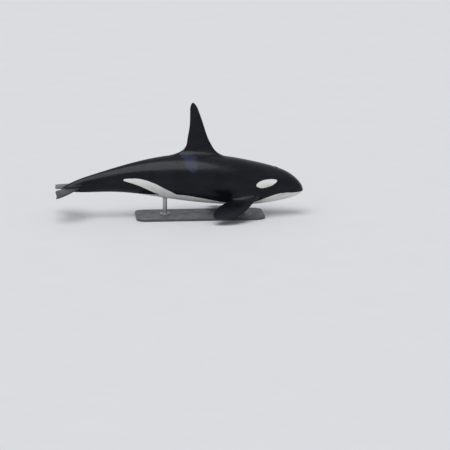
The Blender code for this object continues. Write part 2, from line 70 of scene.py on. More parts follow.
class SmoothLine:
    """A natural cubic spline through places and the values there."""

    def __init__(self, points: Mapping[float, float]) -> None:
        """Fits the spline.

        Args:
            points: The value at each place, in order.
        """
        self.place = np.array(list(points), float)
        self.start = np.array(list(points.values()), float)
        step = np.diff(self.place)
        system = np.eye(len(self.place))
        right = np.zeros(len(self.place))
        rise = np.diff(self.start) / step
        for i in range(1, len(self.place) - 1):
            system[i, i - 1 : i + 2] = step[i - 1], 2 * (step[i - 1] + step[i]), step[i]
            right[i] = 3 * (rise[i] - rise[i - 1])
        self.bend = np.linalg.solve(system, right)
        self.slope = rise - step * (2 * self.bend[:-1] + self.bend[1:]) / 3
        self.cubic = np.diff(self.bend) / (3 * step)

    def __call__(self, places: Array | float) -> Array:
        """The spline's values.

        Args:
            places: Where to read it.

        Returns:
            One value for each place.
        """
        places = np.asarray(places, float)
        i = np.clip(np.searchsorted(self.place, places) - 1, 0, len(self.place) - 2)
        u = places - self.place[i]
        return self.start[i] + u * (self.slope[i] + u * (self.bend[i] + u * self.cubic[i]))


def smoothstep(low: float, high: float, value: Array) -> Array:
    """A soft step from 0 at low to 1 at high.

    Args:
        low: Where it starts.
        high: Where it ends.
        value: What is compared.

    Returns:
        The step's height for each value.
    """
    u = np.clip((value - low) / (high - low), 0, 1)
    return u * u * (3 - 2 * u)


def swell(distance: Array, width: float) -> Array:
    """A bell of height 1 at no distance."""
    return np.exp(-((distance / width) ** 2))


@dataclass(frozen=True)
class Section:
    """One section of the straight body. All but the fullnesses are shares of the length."""

    behind: float
    back: float
    depth: float
    half_width: float
    upper: float
    lower: float


SECTIONS = (
    Section(0.000, -0.010, -0.010, 0.000, 2.0, 2.0),
    Section(0.010, 0.0125, -0.0265, 0.0235, 2.2, 2.1),
    Section(0.030, 0.0330, -0.0390, 0.0375, 2.2, 2.1),
    Section(0.060, 0.0530, -0.0505, 0.0510, 2.2, 2.0),
    Section(0.100, 0.0692, -0.0620, 0.0645, 2.1, 2.0),
    Section(0.160, 0.0824, -0.0765, 0.0775, 2.0, 2.0),
    Section(0.220, 0.0900, -0.0870, 0.0860, 2.0, 2.0),
    Section(0.300, 0.0961, -0.0950, 0.0915, 2.0, 2.0),
    Section(0.380, 0.0985, -0.0980, 0.0910, 1.95, 2.0),
    Section(0.450, 0.0970, -0.0955, 0.0860, 1.9, 2.0),
    Section(0.520, 0.0910, -0.0890, 0.0765, 1.85, 2.0),
    Section(0.600, 0.0795, -0.0770, 0.0625, 1.8, 1.9),
    Section(0.680, 0.0650, -0.0620, 0.0470, 1.75, 1.8),
    Section(0.760, 0.0500, -0.0480, 0.0330, 1.7, 1.7),
    Section(0.840, 0.0370, -0.0365, 0.0225, 1.65, 1.65),
    Section(0.900, 0.0275, -0.0270, 0.0175, 1.65, 1.65),
    Section(0.950, 0.0150, -0.0148, 0.0150, 1.8, 1.8),
    Section(0.985, 0.0035, -0.0035, 0.0080, 2.0, 2.0),
)

PITCH = {0.0: -5.0, 0.12: -5.0, 0.26: -7.4, 0.435: -3.9, 0.64: 1.95, 0.85: 9.0, 0.95: 9.0, 1.0: 7.0}


@dataclass
class Body:
    """The body without its fins: sections drawn straight, then bent into the roll of a breathing animal.

    A place on it is the square root of its share of the length behind the snout, with the cosine and the sine
    of its turn round the section, from the left side over the back.
    """

    length: float = 6.4
    over_origin: float = 0.42
    snout_end: float = 0.05
    tail_cap: tuple[float, float] = (0.9550, 0.9775)
    sections: tuple[Section, ...] = SECTIONS
    pitch: Mapping[float, float] = field(default_factory=lambda: PITCH)
    lift: float = 0.0

    def __post_init__(self) -> None:
        """Fits the sections' splines and lays out the bent axis."""
        names = ("back", "depth", "half_width", "upper", "lower")
        self.lines = {
            name: SmoothLine({math.sqrt(s.behind): getattr(s, name) for s in self.sections}) for name in names
        }
        self.shares = np.linspace(-0.02, 1.06, 1081)
        turn = np.radians(SmoothLine(self.pitch)(np.clip(self.shares, 0, 1)))
        middle = (turn[1:] + turn[:-1]) / 2
        step = np.diff(self.shares) * self.length
        ahead = np.concatenate([[0], np.cumsum(-np.cos(middle) * step)])
        self.axis_x = ahead - np.interp(self.over_origin, self.shares, ahead)
        self.axis_z = np.concatenate([[0], np.cumsum(-np.sin(middle) * step)])
        self.axis_turn = turn

    def axis(self, share: Array | float) -> tuple[Array, Array, Array]:
        """The bent axis.

        Args:
            share: Shares of the length behind the snout.

        Returns:
            The points there, and the directions ahead and up.
        """
        x, z, turn = (np.interp(share, self.shares, v) for v in (self.axis_x, self.axis_z, self.axis_turn))
        none = np.zeros_like(x)
        point = np.stack([x, none, z + self.lift], -1)
        ahead = np.stack([np.cos(turn), none, np.sin(turn)], -1)
        up = np.stack([-np.sin(turn), none, np.cos(turn)], -1)
        return point, ahead, up

    def bent(self, behind: Array, left: Array, above: Array) -> Array:
        """Points of the straight body, bent with the axis.

        Args:
            behind: Metres behind the snout.
            left: Metres to the animal's left.
            above: Metres above the axis.

        Returns:
            Their places in the frame.
        """
        point, _, up = self.axis(np.asarray(behind) / self.length)
        left, above = np.asarray(left, float), np.asarray(above, float)
        return point + up * above[..., None] + LEFTWARD * left[..., None]

    def sizes(self, root: Array) -> tuple[Array, ...]:
        """The section at places along the body.

        Args:
            root: Square roots of shares of the length.

        Returns:
            Back, depth, half width and height of the widest line in metres, then both fullnesses.
        """
        back, depth, half = (self.lines[n](root) * self.length for n in ("back", "depth", "half_width"))
        middle = (back + depth) / 2 * np.clip(1 - root**2 / self.snout_end, 0, 1) ** 2
        return back, depth, half, middle, self.lines["upper"](root), self.lines["lower"](root)

    def straight(self, root: Array, across: Array, over: Array) -> tuple[Array, Array, Array]:
        """The skin of the straight body.

        Args:
            root: Square roots of shares of the length.
            across: Cosines of the turns round the section.
            over: Sines of the turns.

        Returns:
            Metres behind the snout, to the left and above the axis.
        """
        back, depth, half, middle, upper, lower = self.sizes(root)
        fullness = np.where(over >= 0, upper, lower)
        height = np.where(over >= 0, back - middle, middle - depth)
        left = half * np.sign(across) * np.abs(across) ** (2 / fullness)
        start, end = self.tail_cap
        open_still = np.sqrt(1 - np.clip((root**2 - start) / (end - start), 0, 1) ** 2)
        return root**2 * self.length, left * open_still, (middle + height * over) * open_still

    def skin(self, root: Array, across: Array, over: Array) -> Array:
        """The skin of the bent body, by the same three as straight takes."""
        return self.bent(*self.straight(root, across, over))

    def outward(self, root: Array, turn: Array) -> Array:
        """The skin's outward direction, away from the snout's tip.

        Args:
            root: Square roots of shares of the length.
            turn: Turns round the section in radians.

        Returns:
            Unit directions.
        """
        small = 1e-3
        rear = self.skin(root + small, np.cos(turn), np.sin(turn)) - self.skin(
            root - small, np.cos(turn), np.sin(turn)
        )
        round_it = self.skin(root, np.cos(turn + small), np.sin(turn + small)) - self.skin(
            root, np.cos(turn - small), np.sin(turn - small)
        )
        out = np.cross(rear, round_it)
        return out / np.linalg.norm(out, axis=-1, keepdims=True)

    def side_of(self, share: Array | float, above: Array | float) -> Array:
        """How far the skin lies from the midline.

        Args:
            share: Shares of the length.
            above: Metres above the axis.

        Returns:
            Metres to one side.
        """
        back, depth, half, middle, upper, lower = self.sizes(np.sqrt(share))
        high = above >= middle
        reach = (above - middle) / np.where(high, back - middle, depth - middle)
        fullness = np.where(high, upper, lower)
        return half * (1 - np.clip(reach, 0, 1) ** 2) ** (1 / fullness)

    def girth_from_belly(self, root: Array, across: Array, over: Array, steps: int = 24) -> Array:
        """How far round the skin a place lies from the middle of the belly.

        Args:
            root: Square roots of shares of the length.
            across: Cosines of the turns round the section.
            over: Sines of the turns.
            steps: How many straight steps measure it.

        Returns:
            Metres along the skin.
        """
        end = np.arctan2(over, np.abs(across))
        turns = -math.pi / 2 + (end + math.pi / 2)[:, None] * np.linspace(0, 1, steps + 1)
        back, depth, half, middle, upper, lower = (size[:, None] for size in self.sizes(root))
        over = np.sin(turns)
        left = half * np.abs(np.cos(turns)) ** (2 / np.where(over >= 0, upper, lower))
        above = over * np.where(over >= 0, back - middle, middle - depth)
        return np.hypot(np.diff(left), np.diff(above)).sum(1)

    def half_girth(self, share: Array) -> Array:
        """From the middle of the belly round to the ridge of the back, in metres."""
        root = np.sqrt(np.maximum(share, 1e-6))
        return self.girth_from_belly(root, np.zeros_like(root), np.ones_like(root))


def foil(lead: float, trail: float, thickness: float, edge: float, turn: Array) -> tuple[Array, Array]:
    """A fin's section.

    Args:
        lead: Where its front edge lies, counted backwards.
        trail: Where its rear edge lies.
        thickness: Half the thickness, as a share of the chord.
        edge: Half the thickness of the rear edge in metres.
        turn: Turns round it: 0 at the rear edge and pi at the front one.

    Returns:
        Places along the chord and out from it.
    """
    along = (1 + np.cos(turn)) / 2
    shape = 5 * (
        0.2969 * np.sqrt(along) - 0.1260 * along - 0.3516 * along**2 + 0.2843 * along**3 - 0.1036 * along**4
    )
    rim = np.sqrt(np.clip(1 - (2 * along - 1) ** 10, 0, 1))
    out = np.sign(np.sin(turn)) * (thickness * (trail - lead) * shape + edge * rim)
    return lead + (trail - lead) * along, np.where(np.abs(np.sin(turn)) < 1e-9, 0.0, out)


def rounded_tip(share: float, start: float) -> float:
    """How much of the chord is left where a tip rounds off, from share start to 1."""
    over = min(max((share - start) / (1 - start), 0.0), 1.0)
    return math.sqrt(1 - over**2)


@dataclass(frozen=True)
class Opening:
    """Where a fin grows out of the body's grid: shares of the length, and degrees up from the left side."""

    front: float
    rear: float
    low: float
    high: float


@dataclass
class Fin(ABC):
    """A fin that is drawn loop by loop and grows out of an opening in the skin."""

    body: Body
    last_loop: float = 0.9988
    edge: float = 0.004
    root_edge: float = 0.018
    pulls: tuple[float, float] = (1.1, 1.0)
    eased: int = 0

    @property
    @abstractmethod
    def opening(self) -> Opening:
        """The opening that it grows out of."""

    @abstractmethod
    def loop(self, reach: float, turn: Array) -> Array:
        """One loop of its skin.

        Args:
            reach: Share of the span, 0 at the root.
            turn: Turns round the section.

        Returns:
            Points in the frame.
        """

    @abstractmethod
    def reaches(self) -> Array:
        """The shares of the span at which loops are drawn, from the first free of the fillet."""

    def underside(self, reach: float, turn: Array) -> Array:
        """How far inside its white field each point of a loop lies, in metres. Most fins have none."""
        return np.full(len(turn), -1.0)

    def rear_edge(self, reach: float) -> float:
        """Half the thickness of the rear edge, which swells towards the root."""
        return self.edge + self.root_edge * max(1 - reach / 0.35, 0.0) ** 2


def towards_tip(start: float, end: float, count: int, closer: float = 1.7) -> Array:
    """Places from start to end that lie closer together towards the end."""
    u = np.linspace(0, 1, count)
    return start + (end - start) * (1 - (1 - u) ** closer)


@dataclass
class DorsalFin(Fin):
    """The tall, upright fin of a young male."""

    height: float = 1.32
    pulls: tuple[float, float] = (0.85, 0.80)
    eased: int = 4
    tip_at: float = 0.4465
    thickness: float = 0.16
    round_from: float = 1.15
    edges: Mapping[float, tuple[float, float]] = field(
        default_factory=lambda: {
            0.00: (0.610, -0.480),
            0.05: (0.570, -0.350),
            0.12: (0.532, -0.240),
            0.34: (0.415, -0.147),
            0.70: (0.288, -0.086),
            1.05: (0.172, -0.070),
            1.32: (0.076, -0.066),
        }
    )

    def __post_init__(self) -> None:
        """Fits the edges' splines."""
        self.front = SmoothLine({h: row[0] for h, row in self.edges.items()})
        self.rear = SmoothLine({h: row[1] for h, row in self.edges.items()})

    @property
    def foot(self) -> Array:
        """The point of the back under the tip."""
        point, _, _ = self.body.axis(self.tip_at)
        return point + np.array([0, 0, float(self.body.sizes(np.sqrt(self.tip_at))[0])])

    @property
    def opening(self) -> Opening:
        """Along the back, a little longer than the fin's root."""
        return Opening(0.328, 0.545, 72.5, 107.5)

    def loop(self, reach: float, turn: Array) -> Array:
        """A level loop."""
        height = reach * self.height
        left = rounded_tip(reach, self.round_from / self.height)
        middle = float(self.front(height) + self.rear(height)) / 2
        half = float(self.front(height) - self.rear(height)) / 2 * max(left, 0.02)
        along, out = foil(-middle - half, -middle + half, self.thickness / 2, self.rear_edge(reach) * left, turn)
        foot = self.foot
        return np.stack([foot[0] - along, out, np.full(len(turn), foot[2] + height)], -1)

    def reaches(self) -> Array:
        """From just above the fillet to the tip."""
        return towards_tip(0.15 / self.height, self.last_loop, 46)


@dataclass
class Flipper(Fin):
    """The left flipper, a broad paddle. The right one is its mirror image."""

    span: float = 1.22
    root_edge: float = 0.030
    eased: int = 4
    at: float = 0.228
    height: float = -0.046
    sweep: float = 33.0
    droop: float = 33.0
    twist: float = 12.0
    thickness: float = 0.17
    round_from: float = 0.62
    curl: float = 0.05
    slant: float = 0.14
    slant_end: float = 0.75
    edges: Mapping[float, tuple[float, float]] = field(
        default_factory=lambda: {
            0.00: (0.250, 0.480),
            0.20: (0.268, 0.520),
            0.45: (0.275, 0.630),
            0.70: (0.225, 0.625),
            1.00: (0.070, 0.480),
        }
    )

    def __post_init__(self) -> None:
        """Fits the splines of the front edge and the chord."""
        self.lead = SmoothLine({v: row[0] for v, row in self.edges.items()})
        self.chord = SmoothLine({v: row[1] for v, row in self.edges.items()})

    @property
    def opening(self) -> Opening:
        """Low on the shoulder."""
        return Opening(0.180, 0.308, -47.5, -17.5)

    def axes(self) -> tuple[Array, Array, Array, Array]:
        """The root, and the directions along the span, ahead across the chord and out of the underside."""
        centre, ahead, up = self.body.axis(self.at)
        height = self.height * self.body.length
        root = centre + up * height + LEFTWARD * float(self.body.side_of(self.at, height))
        sweep, droop, twist = (math.radians(v) for v in (self.sweep, self.droop, self.twist))
        outward = LEFTWARD * math.cos(droop) - up * math.sin(droop)
        span = outward * math.cos(sweep) - ahead * math.sin(sweep)
        flat = ahead * math.cos(sweep) + outward * math.sin(sweep)
        across = flat * math.cos(twist) - np.cross(span, flat) * math.sin(twist)
        return root, span, across, np.cross(span, across)

    def loop(self, reach: float, turn: Array) -> Array:
        """A loop across the paddle, slanted along the flank near the root."""
        root, span, across, under = self.axes()
        reached = reach + self.slant * np.cos(turn) * max(1 - reach / self.slant_end, 0.0) ** 2
        left = max(rounded_tip(reach, self.round_from), 0.03)
        half = self.chord(reached) / 2
        middle = self.lead(reached) - half
        half = half * left
        along, out = foil(-middle - half, -middle + half, self.thickness / 2, self.rear_edge(reach) * left, turn)
        line = root + span * (reached * self.span)[:, None] - under * self.curl * reached[:, None] ** 2
        return line - across * along[:, None] + under * out[:, None]

    def reaches(self) -> Array:
        """From just outside the fillet to the tip."""
        return towards_tip(0.16, self.last_loop, 40)


@dataclass
class Fluke(Fin):
    """The left fluke. The right one is its mirror image."""

    span: float = 0.95
    thickness: float = 0.12
    round_from: float = 0.93
    droop: float = 0.05
    border: float = 0.055
    root_edge: float = 0.0
    pulls: tuple[float, float] = (0.5, 0.7)
    edges: Mapping[float, tuple[float, float]] = field(
        default_factory=lambda: {
            0.00: (0.888, 0.9840),
            0.12: (0.8945, 0.9965),
            0.30: (0.9060, 1.0015),
            0.55: (0.9280, 1.0005),
            0.80: (0.9590, 0.9990),
            1.00: (0.9940, 1.0035),
        }
    )

    def __post_init__(self) -> None:
        """Fits the edges' splines."""
        self.front = SmoothLine({v: row[0] * self.body.length for v, row in self.edges.items()})
        self.rear = SmoothLine({v: row[1] * self.body.length for v, row in self.edges.items()})

    @property
    def opening(self) -> Opening:
        """On the side of the tail's end."""
        return Opening(0.886, 0.9715, -30.0, 30.0)

    def loop(self, reach: float, turn: Array) -> Array:
        """A loop along the tail's own direction."""
        left = max(rounded_tip(reach, self.round_from), 0.05)
        middle = float(self.front(reach) + self.rear(reach)) / 2
        half = float(self.rear(reach) - self.front(reach)) / 2 * left
        along, out = foil(middle - half, middle + half, self.thickness / 2, self.edge * left, turn)
        across = np.full(len(turn), reach * self.span)
        return self.body.bent(along, across, -out - self.droop * reach**2)

    def reaches(self) -> Array:
        """From just outside the fillet to the tip."""
        return towards_tip(0.15, self.last_loop, 34, 1.5)

    def underside(self, reach: float, turn: Array) -> Array:
        """The white field under the fluke, inside a dark border and short of the tip."""
        front, rear = float(self.front(reach)), float(self.rear(reach))
        along = front + (rear - front) * (1 + np.cos(turn)) / 2
        inside = np.minimum(along - front - self.border, rear - along - self.border * 0.6)
        inside = np.minimum(inside, (0.90 - reach) * self.span * 0.5)
        return np.where(np.sin(turn) > 0, inside, -np.abs(inside) - self.border)


class Grid:
    """The body's rings and the places of the openings among them."""

    def __init__(self, body: Body, corners: int = 144) -> None:
        """Sets out the rings.

        Args:
            body: The body that they lie on.
            corners: How many corners a ring has.
        """
        self.body = body
        self.corners = corners
        start, end = body.tail_cap
        parts = [
            np.linspace(0, math.sqrt(0.03), 25)[1:],
            np.sqrt(np.linspace(0.03, 0.15, 54)[1:]),
            np.sqrt(np.linspace(0.15, 0.60, 132)[1:]),
            np.sqrt(np.linspace(0.60, start + 0.0015, 112)[1:]),
            np.sqrt(start + (end - start) * np.sin(np.array([0.28, 0.42, 0.58, 0.74, 0.89]) * math.pi / 2)),
        ]
        self.roots = np.concatenate(parts)
        self.turns = np.arange(corners) * math.tau / corners

    @property
    def count(self) -> int:
        """How many rings there are."""
        return len(self.roots)

    def number(self, ring: int, corner: int) -> int:
        """The vertex number of a ring's corner. The snout's tip is number 0."""
        return 1 + ring * self.corners + corner % self.corners

    def window(self, opening: Opening) -> tuple[int, int, int, int]:
        """The first and last ring and the first and last corner round an opening."""
        shares = self.roots**2
        first, last = (int(np.abs(shares - share).argmin()) for share in (opening.front, opening.rear))
        low, high = (round(angle / 360 * self.corners) for angle in (opening.low, opening.high))
        return first, last, low, high

    def round_opening(self, opening: Opening) -> tuple[list[tuple[int, int]], Array]:
        """The edge of an opening.

        Args:
            opening: The opening.

        Returns:
            Its rings and corners in order, and the turn round the fin's section that each leads to.
        """
        first, last, low, high = self.window(opening)
        sides = [
            [(i, low) for i in range(first, last)],
            [(last, j) for j in range(low, high)],
            [(i, high) for i in range(last, first, -1)],
            [(first, j) for j in range(high, low, -1)],
        ]
        lead, trail = 0.55, 0.45
        knots = (math.pi - lead, trail, -trail, lead - math.pi, -math.pi - lead)
        turns = [
            np.linspace(knots[n], knots[n + 1], len(side), endpoint=False) for n, side in enumerate(sides)
        ]
        return sum(sides, []), np.concatenate(turns)


@dataclass
class SkinPoints:
    """What is known at each corner of the skin while it is built."""

    place: Array
    root: Array
    across: Array
    over: Array
    grown: Array
    free: Array
    white: Array
    saddle: Array


def fillet(start: Array, outward: Array, end: Array, leave: Array, rows: int, pulls: tuple[float, float]) -> Array:
    """Loops that turn smoothly from the skin round an opening up into a fin.

    Args:
        start: The opening's edge.
        outward: The skin's outward directions there.
        end: The fin's first loop.
        leave: The directions in which the fin leaves that loop.
        rows: How many steps the turn takes.
        pulls: How far it keeps each end's direction.

    Returns:
        The loops between start and end.
    """
    way = end - start
    reach = np.linalg.norm(way, axis=1, keepdims=True)
    level = way - outward * (way * outward).sum(1, keepdims=True)
    level *= reach / np.linalg.norm(level, axis=1, keepdims=True)
    loops = []
    for t in np.linspace(0, 1, rows + 1)[1:-1]:
        loops.append(
            (2 * t**3 - 3 * t**2 + 1) * start
            + (t**3 - 2 * t**2 + t) * pulls[0] * level
            + (3 * t**2 - 2 * t**3) * end
            + (t**3 - t**2) * pulls[1] * leave * reach
        )
    return np.array(loops)


def rounded(points: Iterable[tuple[float, float]], steps: int = 8) -> Array:
    """A closed outline through points, with its corners rounded.

    Args:
        points: The points in order.
        steps: How many steps lead from one to the next.

    Returns:
        The outline.
    """
    p = np.array(list(points), float)
    t = (np.arange(steps) / steps)[:, None]
    parts = []
    for a, b, c, d in zip(np.roll(p, 1, 0), p, np.roll(p, -1, 0), np.roll(p, -2, 0)):
        parts.append(
            b + t * (c - a) / 2 + t**2 * (a - 2.5 * b + 2 * c - d / 2) + t**3 * (-a + 3 * b - 3 * c + d) / 2
        )
    return np.concatenate(parts)


def depth_inside(points: Array, outline: Array) -> Array:
    """How far points lie inside a closed outline.

    Args:
        points: Points of the plane.
        outline: The outline's corners.

    Returns:
        Distances, below zero outside.
    """
    nearest = np.full(len(points), np.inf)
    inside = np.zeros(len(points), bool)
    x, y = points.T
    for start, end in zip(outline, np.roll(outline, -1, 0)):
        edge = end - start
        t = np.clip(((points - start) @ edge) / max(edge @ edge, 1e-12), 0, 1)
        nearest = np.minimum(nearest, np.hypot(x - start[0] - t * edge[0], y - start[1] - t * edge[1]))
        crossed = (start[1] > y) != (end[1] > y)
        if edge[1]:
            inside ^= crossed & (x < start[0] + (y - start[1]) / edge[1] * edge[0])
    return np.where(inside, nearest, -nearest)


@dataclass
class Markings:
    """The white fields and the grey saddle, drawn on the unrolled skin.

    A point of an outline is a share of the length and a share of the way from the belly round to the back.
    """

    body: Body
    belly: tuple[tuple[float, float], ...] = (
        (0.072, 0.29),
        (0.083, 0.362),
        (0.098, 0.372),
        (0.125, 0.342),
        (0.155, 0.290),
        (0.180, 0.225),
        (0.210, 0.180),
        (0.245, 0.155),
        (0.285, 0.155),
        (0.330, 0.185),
        (0.390, 0.225),
        (0.450, 0.250),
        (0.510, 0.255),
        (0.560, 0.215),
        (0.610, 0.150),
        (0.655, 0.100),
        (0.690, 0.055),
        (0.705, 0.000),
        (0.690, -0.055),
        (0.500, -0.10),
        (0.200, -0.10),
        (0.080, -0.10),
    )
    flank: tuple[tuple[float, float], ...] = (
        (0.490, 0.18),
        (0.520, 0.265),
        (0.560, 0.335),
        (0.600, 0.420),
        (0.640, 0.490),
        (0.680, 0.535),
        (0.715, 0.545),
        (0.728, 0.515),
        (0.710, 0.455),
        (0.675, 0.380),
        (0.640, 0.300),
        (0.605, 0.225),
        (0.560, 0.160),
        (0.510, 0.140),
    )
    eye_patch_at: tuple[float, float] = (0.157, 0.560)
    eye_patch_size: tuple[float, float] = (0.270, 0.100)
    eye_patch_tilt: float = 4.0
    saddle: tuple[tuple[float, float], ...] = (
        (0.513, 1.015),
        (0.507, 0.970),
        (0.494, 0.880),
        (0.489, 0.800),
        (0.483, 0.730),
        (0.474, 0.670),
        (0.462, 0.632),
        (0.450, 0.628),
        (0.441, 0.660),
        (0.437, 0.725),
        (0.435, 0.795),
        (0.436, 0.860),
        (0.443, 0.915),
        (0.456, 0.960),
        (0.472, 0.990),
        (0.490, 1.030),
    )

    def unrolled(self, outline: Iterable[tuple[float, float]]) -> Array:
        """An outline in metres: behind the snout, and round from the belly."""
        shares, rounds = rounded(outline).T
        return np.stack([shares * self.body.length, rounds * self.body.half_girth(shares)], -1)

    def white(self, map_points: Array, above_lips: Array) -> Array:
        """How far inside the white each point lies.

        Args:
            map_points: Points of the unrolled skin.
            above_lips: Metres above the line of the mouth, on the head.

        Returns:
            Distances, below zero on the black.
        """
        field_of_belly = depth_inside(map_points, self.unrolled(self.belly))
        field_of_flank = depth_inside(map_points, self.unrolled(self.flank))
        share, tilt = map_points[:, 0], math.radians(self.eye_patch_tilt)
        centre = np.array(self.eye_patch_at) * self.body.length
        centre[1] = self.eye_patch_at[1] * float(self.body.half_girth(np.array([self.eye_patch_at[0]]))[0])
        along = (share - centre[0]) * math.cos(tilt) + (map_points[:, 1] - centre[1]) * math.sin(tilt)
        across = (map_points[:, 1] - centre[1]) * math.cos(tilt) - (share - centre[0]) * math.sin(tilt)
        length, width = self.eye_patch_size
        width = width * (1 + 0.12 * along / length)
        patch = (1 - np.hypot(along / length, across / width)) * width
        jaw = -above_lips - 0.011
        white = np.maximum(np.maximum(field_of_belly, field_of_flank), jaw)
        return np.maximum(white, patch)

    def grey(self, map_points: Array) -> Array:
        """How far inside the saddle each point of the unrolled skin lies."""
        return depth_inside(map_points, self.unrolled(self.saddle))


@dataclass
class Spots:
    """Places on the body's own skin, with what is known of each."""

    place: Array
    share: Array
    behind: Array
    left: Array
    above: Array
    over: Array

    @property
    def mirrored(self) -> Array:
        """The places with those on the right carried to the left."""
        return np.stack([self.place[:, 0], np.abs(self.place[:, 1]), self.place[:, 2]], -1)


def distance_to_path(place: Array, path: Array, limit: float = 0.4) -> tuple[Array, Array]:
    """The nearest point of a path for each place.

    Args:
        place: The places.
        path: The path's points, close together.
        limit: How far from the path it still measures.

    Returns:
        Distances, the limit at most, and the numbers of the nearest points.
    """
    nearest, which = np.full(len(place), limit**2), np.zeros(len(place), int)
    inside = np.nonzero(((place > path.min(0) - limit) & (place < path.max(0) + limit)).all(1))[0]
    near, best, number_of = place[inside], nearest[inside], which[inside]
    for number, point in enumerate(path):
        away = ((near - point) ** 2).sum(1)
        closer = away < best
        best[closer], number_of[closer] = away[closer], number
    nearest[inside], which[inside] = best, number_of
    return np.sqrt(nearest), which


class Feature(ABC):
    """Something raised in or sunk into the skin. The faces are split within each reach in turn."""

    reaches: tuple[float, ...] = ()

    @abstractmethod
    def away(self, place: Array) -> Array:
        """How far places lie from it, in metres."""

    @abstractmethod
    def relief(self, spots: Spots) -> Array:
        """How far it moves the skin outward."""

    def dark(self, spots: Spots) -> Array:
        """Where painted shade darkens the skin in its hollows, from 0 to 1."""
        return np.zeros(len(spots.share))


@dataclass
class Mouth(Feature):
    """The line of the mouth, with a rounded lip on each side of it."""

    body: Body
    line: Mapping[float, float] = field(
        default_factory=lambda: {0.0: -0.0125, 0.025: -0.0155, 0.055: -0.0175, 0.080: -0.0180, 0.095: -0.0215}
    )
    corner: float = 0.095
    groove_depth: float = 0.015
    groove_width: float = 0.0060
    lip_rise: float = 0.0045
    lip_at: float = 0.017
    lip_width: float = 0.012
    reaches: tuple[float, ...] = (0.050, 0.032, 0.018)

    def __post_init__(self) -> None:
        """Traces the line on the left side."""
        self.height = SmoothLine(self.line)
        fine = np.linspace(1e-4, self.corner, 60001)
        _, depth, *_ = self.body.sizes(np.sqrt(fine))
        front = fine[np.argmax(self.height(fine) * self.body.length > depth)]
        shares = front + (self.corner - front) * np.linspace(0, 1, 300) ** 2
        heights = self.height(shares) * self.body.length
        self.path = self.body.bent(shares * self.body.length, self.body.side_of(shares, heights), heights)
        self.path[0, 1] = 0.0

    def away(self, place: Array) -> Array:
        """How far places lie from the line."""
        mirrored = np.stack([place[:, 0], np.abs(place[:, 1]), place[:, 2]], -1)
        return distance_to_path(mirrored, self.path[::4])[0]

    def measure(self, spots: Spots) -> tuple[Array, Array]:
        """Each spot's distance from the line and how far along it lies.

        Args:
            spots: Places of the head.

        Returns:
            Distances, above zero on the upper side, and shares of the line from the snout back.
        """
        away, which = distance_to_path(spots.mirrored, self.path)
        line = self.height(np.clip(spots.share, 0, self.corner)) * self.body.length
        return np.where(spots.above >= line, away, -away), which / (len(self.path) - 1)

    def relief(self, spots: Spots) -> Array:
        """The lips' swell and the groove between them."""
        away, along = self.measure(spots)
        fade = 1 - 0.85 * smoothstep(0.86, 1.0, along)
        groove = -self.groove_depth * swell(away, self.groove_width)
        upper = self.lip_rise * 1.2 * swell(away - self.lip_at, self.lip_width)
        lower = self.lip_rise * swell(away + self.lip_at, self.lip_width)
        hollow = -0.004 * swell(away - 0.075, 0.03) * smoothstep(0.75, 0.35, along)
        return (groove + upper + lower) * fade + hollow

    def dark(self, spots: Spots) -> Array:
        """Painted shade inside the groove."""
        away, along = self.measure(spots)
        return swell(away, 0.008) * (1 - smoothstep(0.93, 1.0, along))


@dataclass
class EyeSocket(Feature):
    """One eye's lids, wrapped round the ball that the frame holds."""

    side: Side
    ball: Array
    radius: float
    out: Array
    half_length: float = 0.0235
    half_height: float = 0.0130
    mound: float = 0.0130
    spread: float = 0.032
    sink: float = 0.036
    reaches: tuple[float, ...] = (0.085, 0.068, 0.054, 0.046)

    def axes(self) -> tuple[Array, Array]:
        """The directions ahead and up across the eye."""
        ahead = np.array([1.0, 0, 0]) - self.out * self.out[0]
        ahead /= np.linalg.norm(ahead)
        up = np.cross(self.out, ahead) * self.side.value
        return ahead, up * (1 if up[2] > 0 else -1)

    def away(self, place: Array) -> Array:
        """How far places lie from the ball's middle."""
        return np.linalg.norm(place - self.ball, axis=1)

    def local(self, spots: Spots) -> tuple[Array, Array]:
        """How far spots lie ahead of the eye's middle and above it."""
        ahead, up = self.axes()
        apart = spots.place - self.ball
        return apart @ ahead, apart @ up

    def margin(self, x: Array, y: Array) -> Array:
        """How far inside the lids' opening a place lies, as an almond with a slight droop ahead."""
        y = y + 0.0015 * x / self.half_length
        half = self.half_height * np.clip(1 - (x / self.half_length) ** 2, 0, 1) ** 0.75
        across = np.where(y > 0, half, half * 0.9) - np.abs(y)
        return np.where(np.abs(x) < self.half_length, across, -np.abs(y) - np.abs(x) + self.half_length)

    def relief(self, spots: Spots) -> Array:
        """The lids' swelling, the folds round them and the opening."""
        x, y = self.local(spots)
        lids = self.mound * swell(np.hypot(x * 0.82, y * 1.2), self.spread)
        fold = -0.0028 * swell(np.hypot(x * 0.62, (y - 0.004) * 1.25) - 0.029, 0.0036)
        under = -0.0016 * swell(np.hypot(x * 0.62, (y + 0.002) * 1.3) - 0.028, 0.003)
        rim = 0.0016 * swell(self.margin(x, y) + 0.003, 0.0025)
        opening = -self.sink * smoothstep(-0.0008, 0.0014, self.margin(x, y))
        near = smoothstep(0.09, 0.06, self.away(spots.place))
        fold *= smoothstep(0.004, 0.020, y)
        under *= smoothstep(-0.002, -0.016, y)
        return (lids + fold + under + rim + opening) * near

    def dark(self, spots: Spots) -> Array:
        """Painted shade on the lids' rims and inside them."""
        x, y = self.local(spots)
        return smoothstep(-0.006, 0.0, self.margin(x, y)) * (self.away(spots.place) < 0.06)


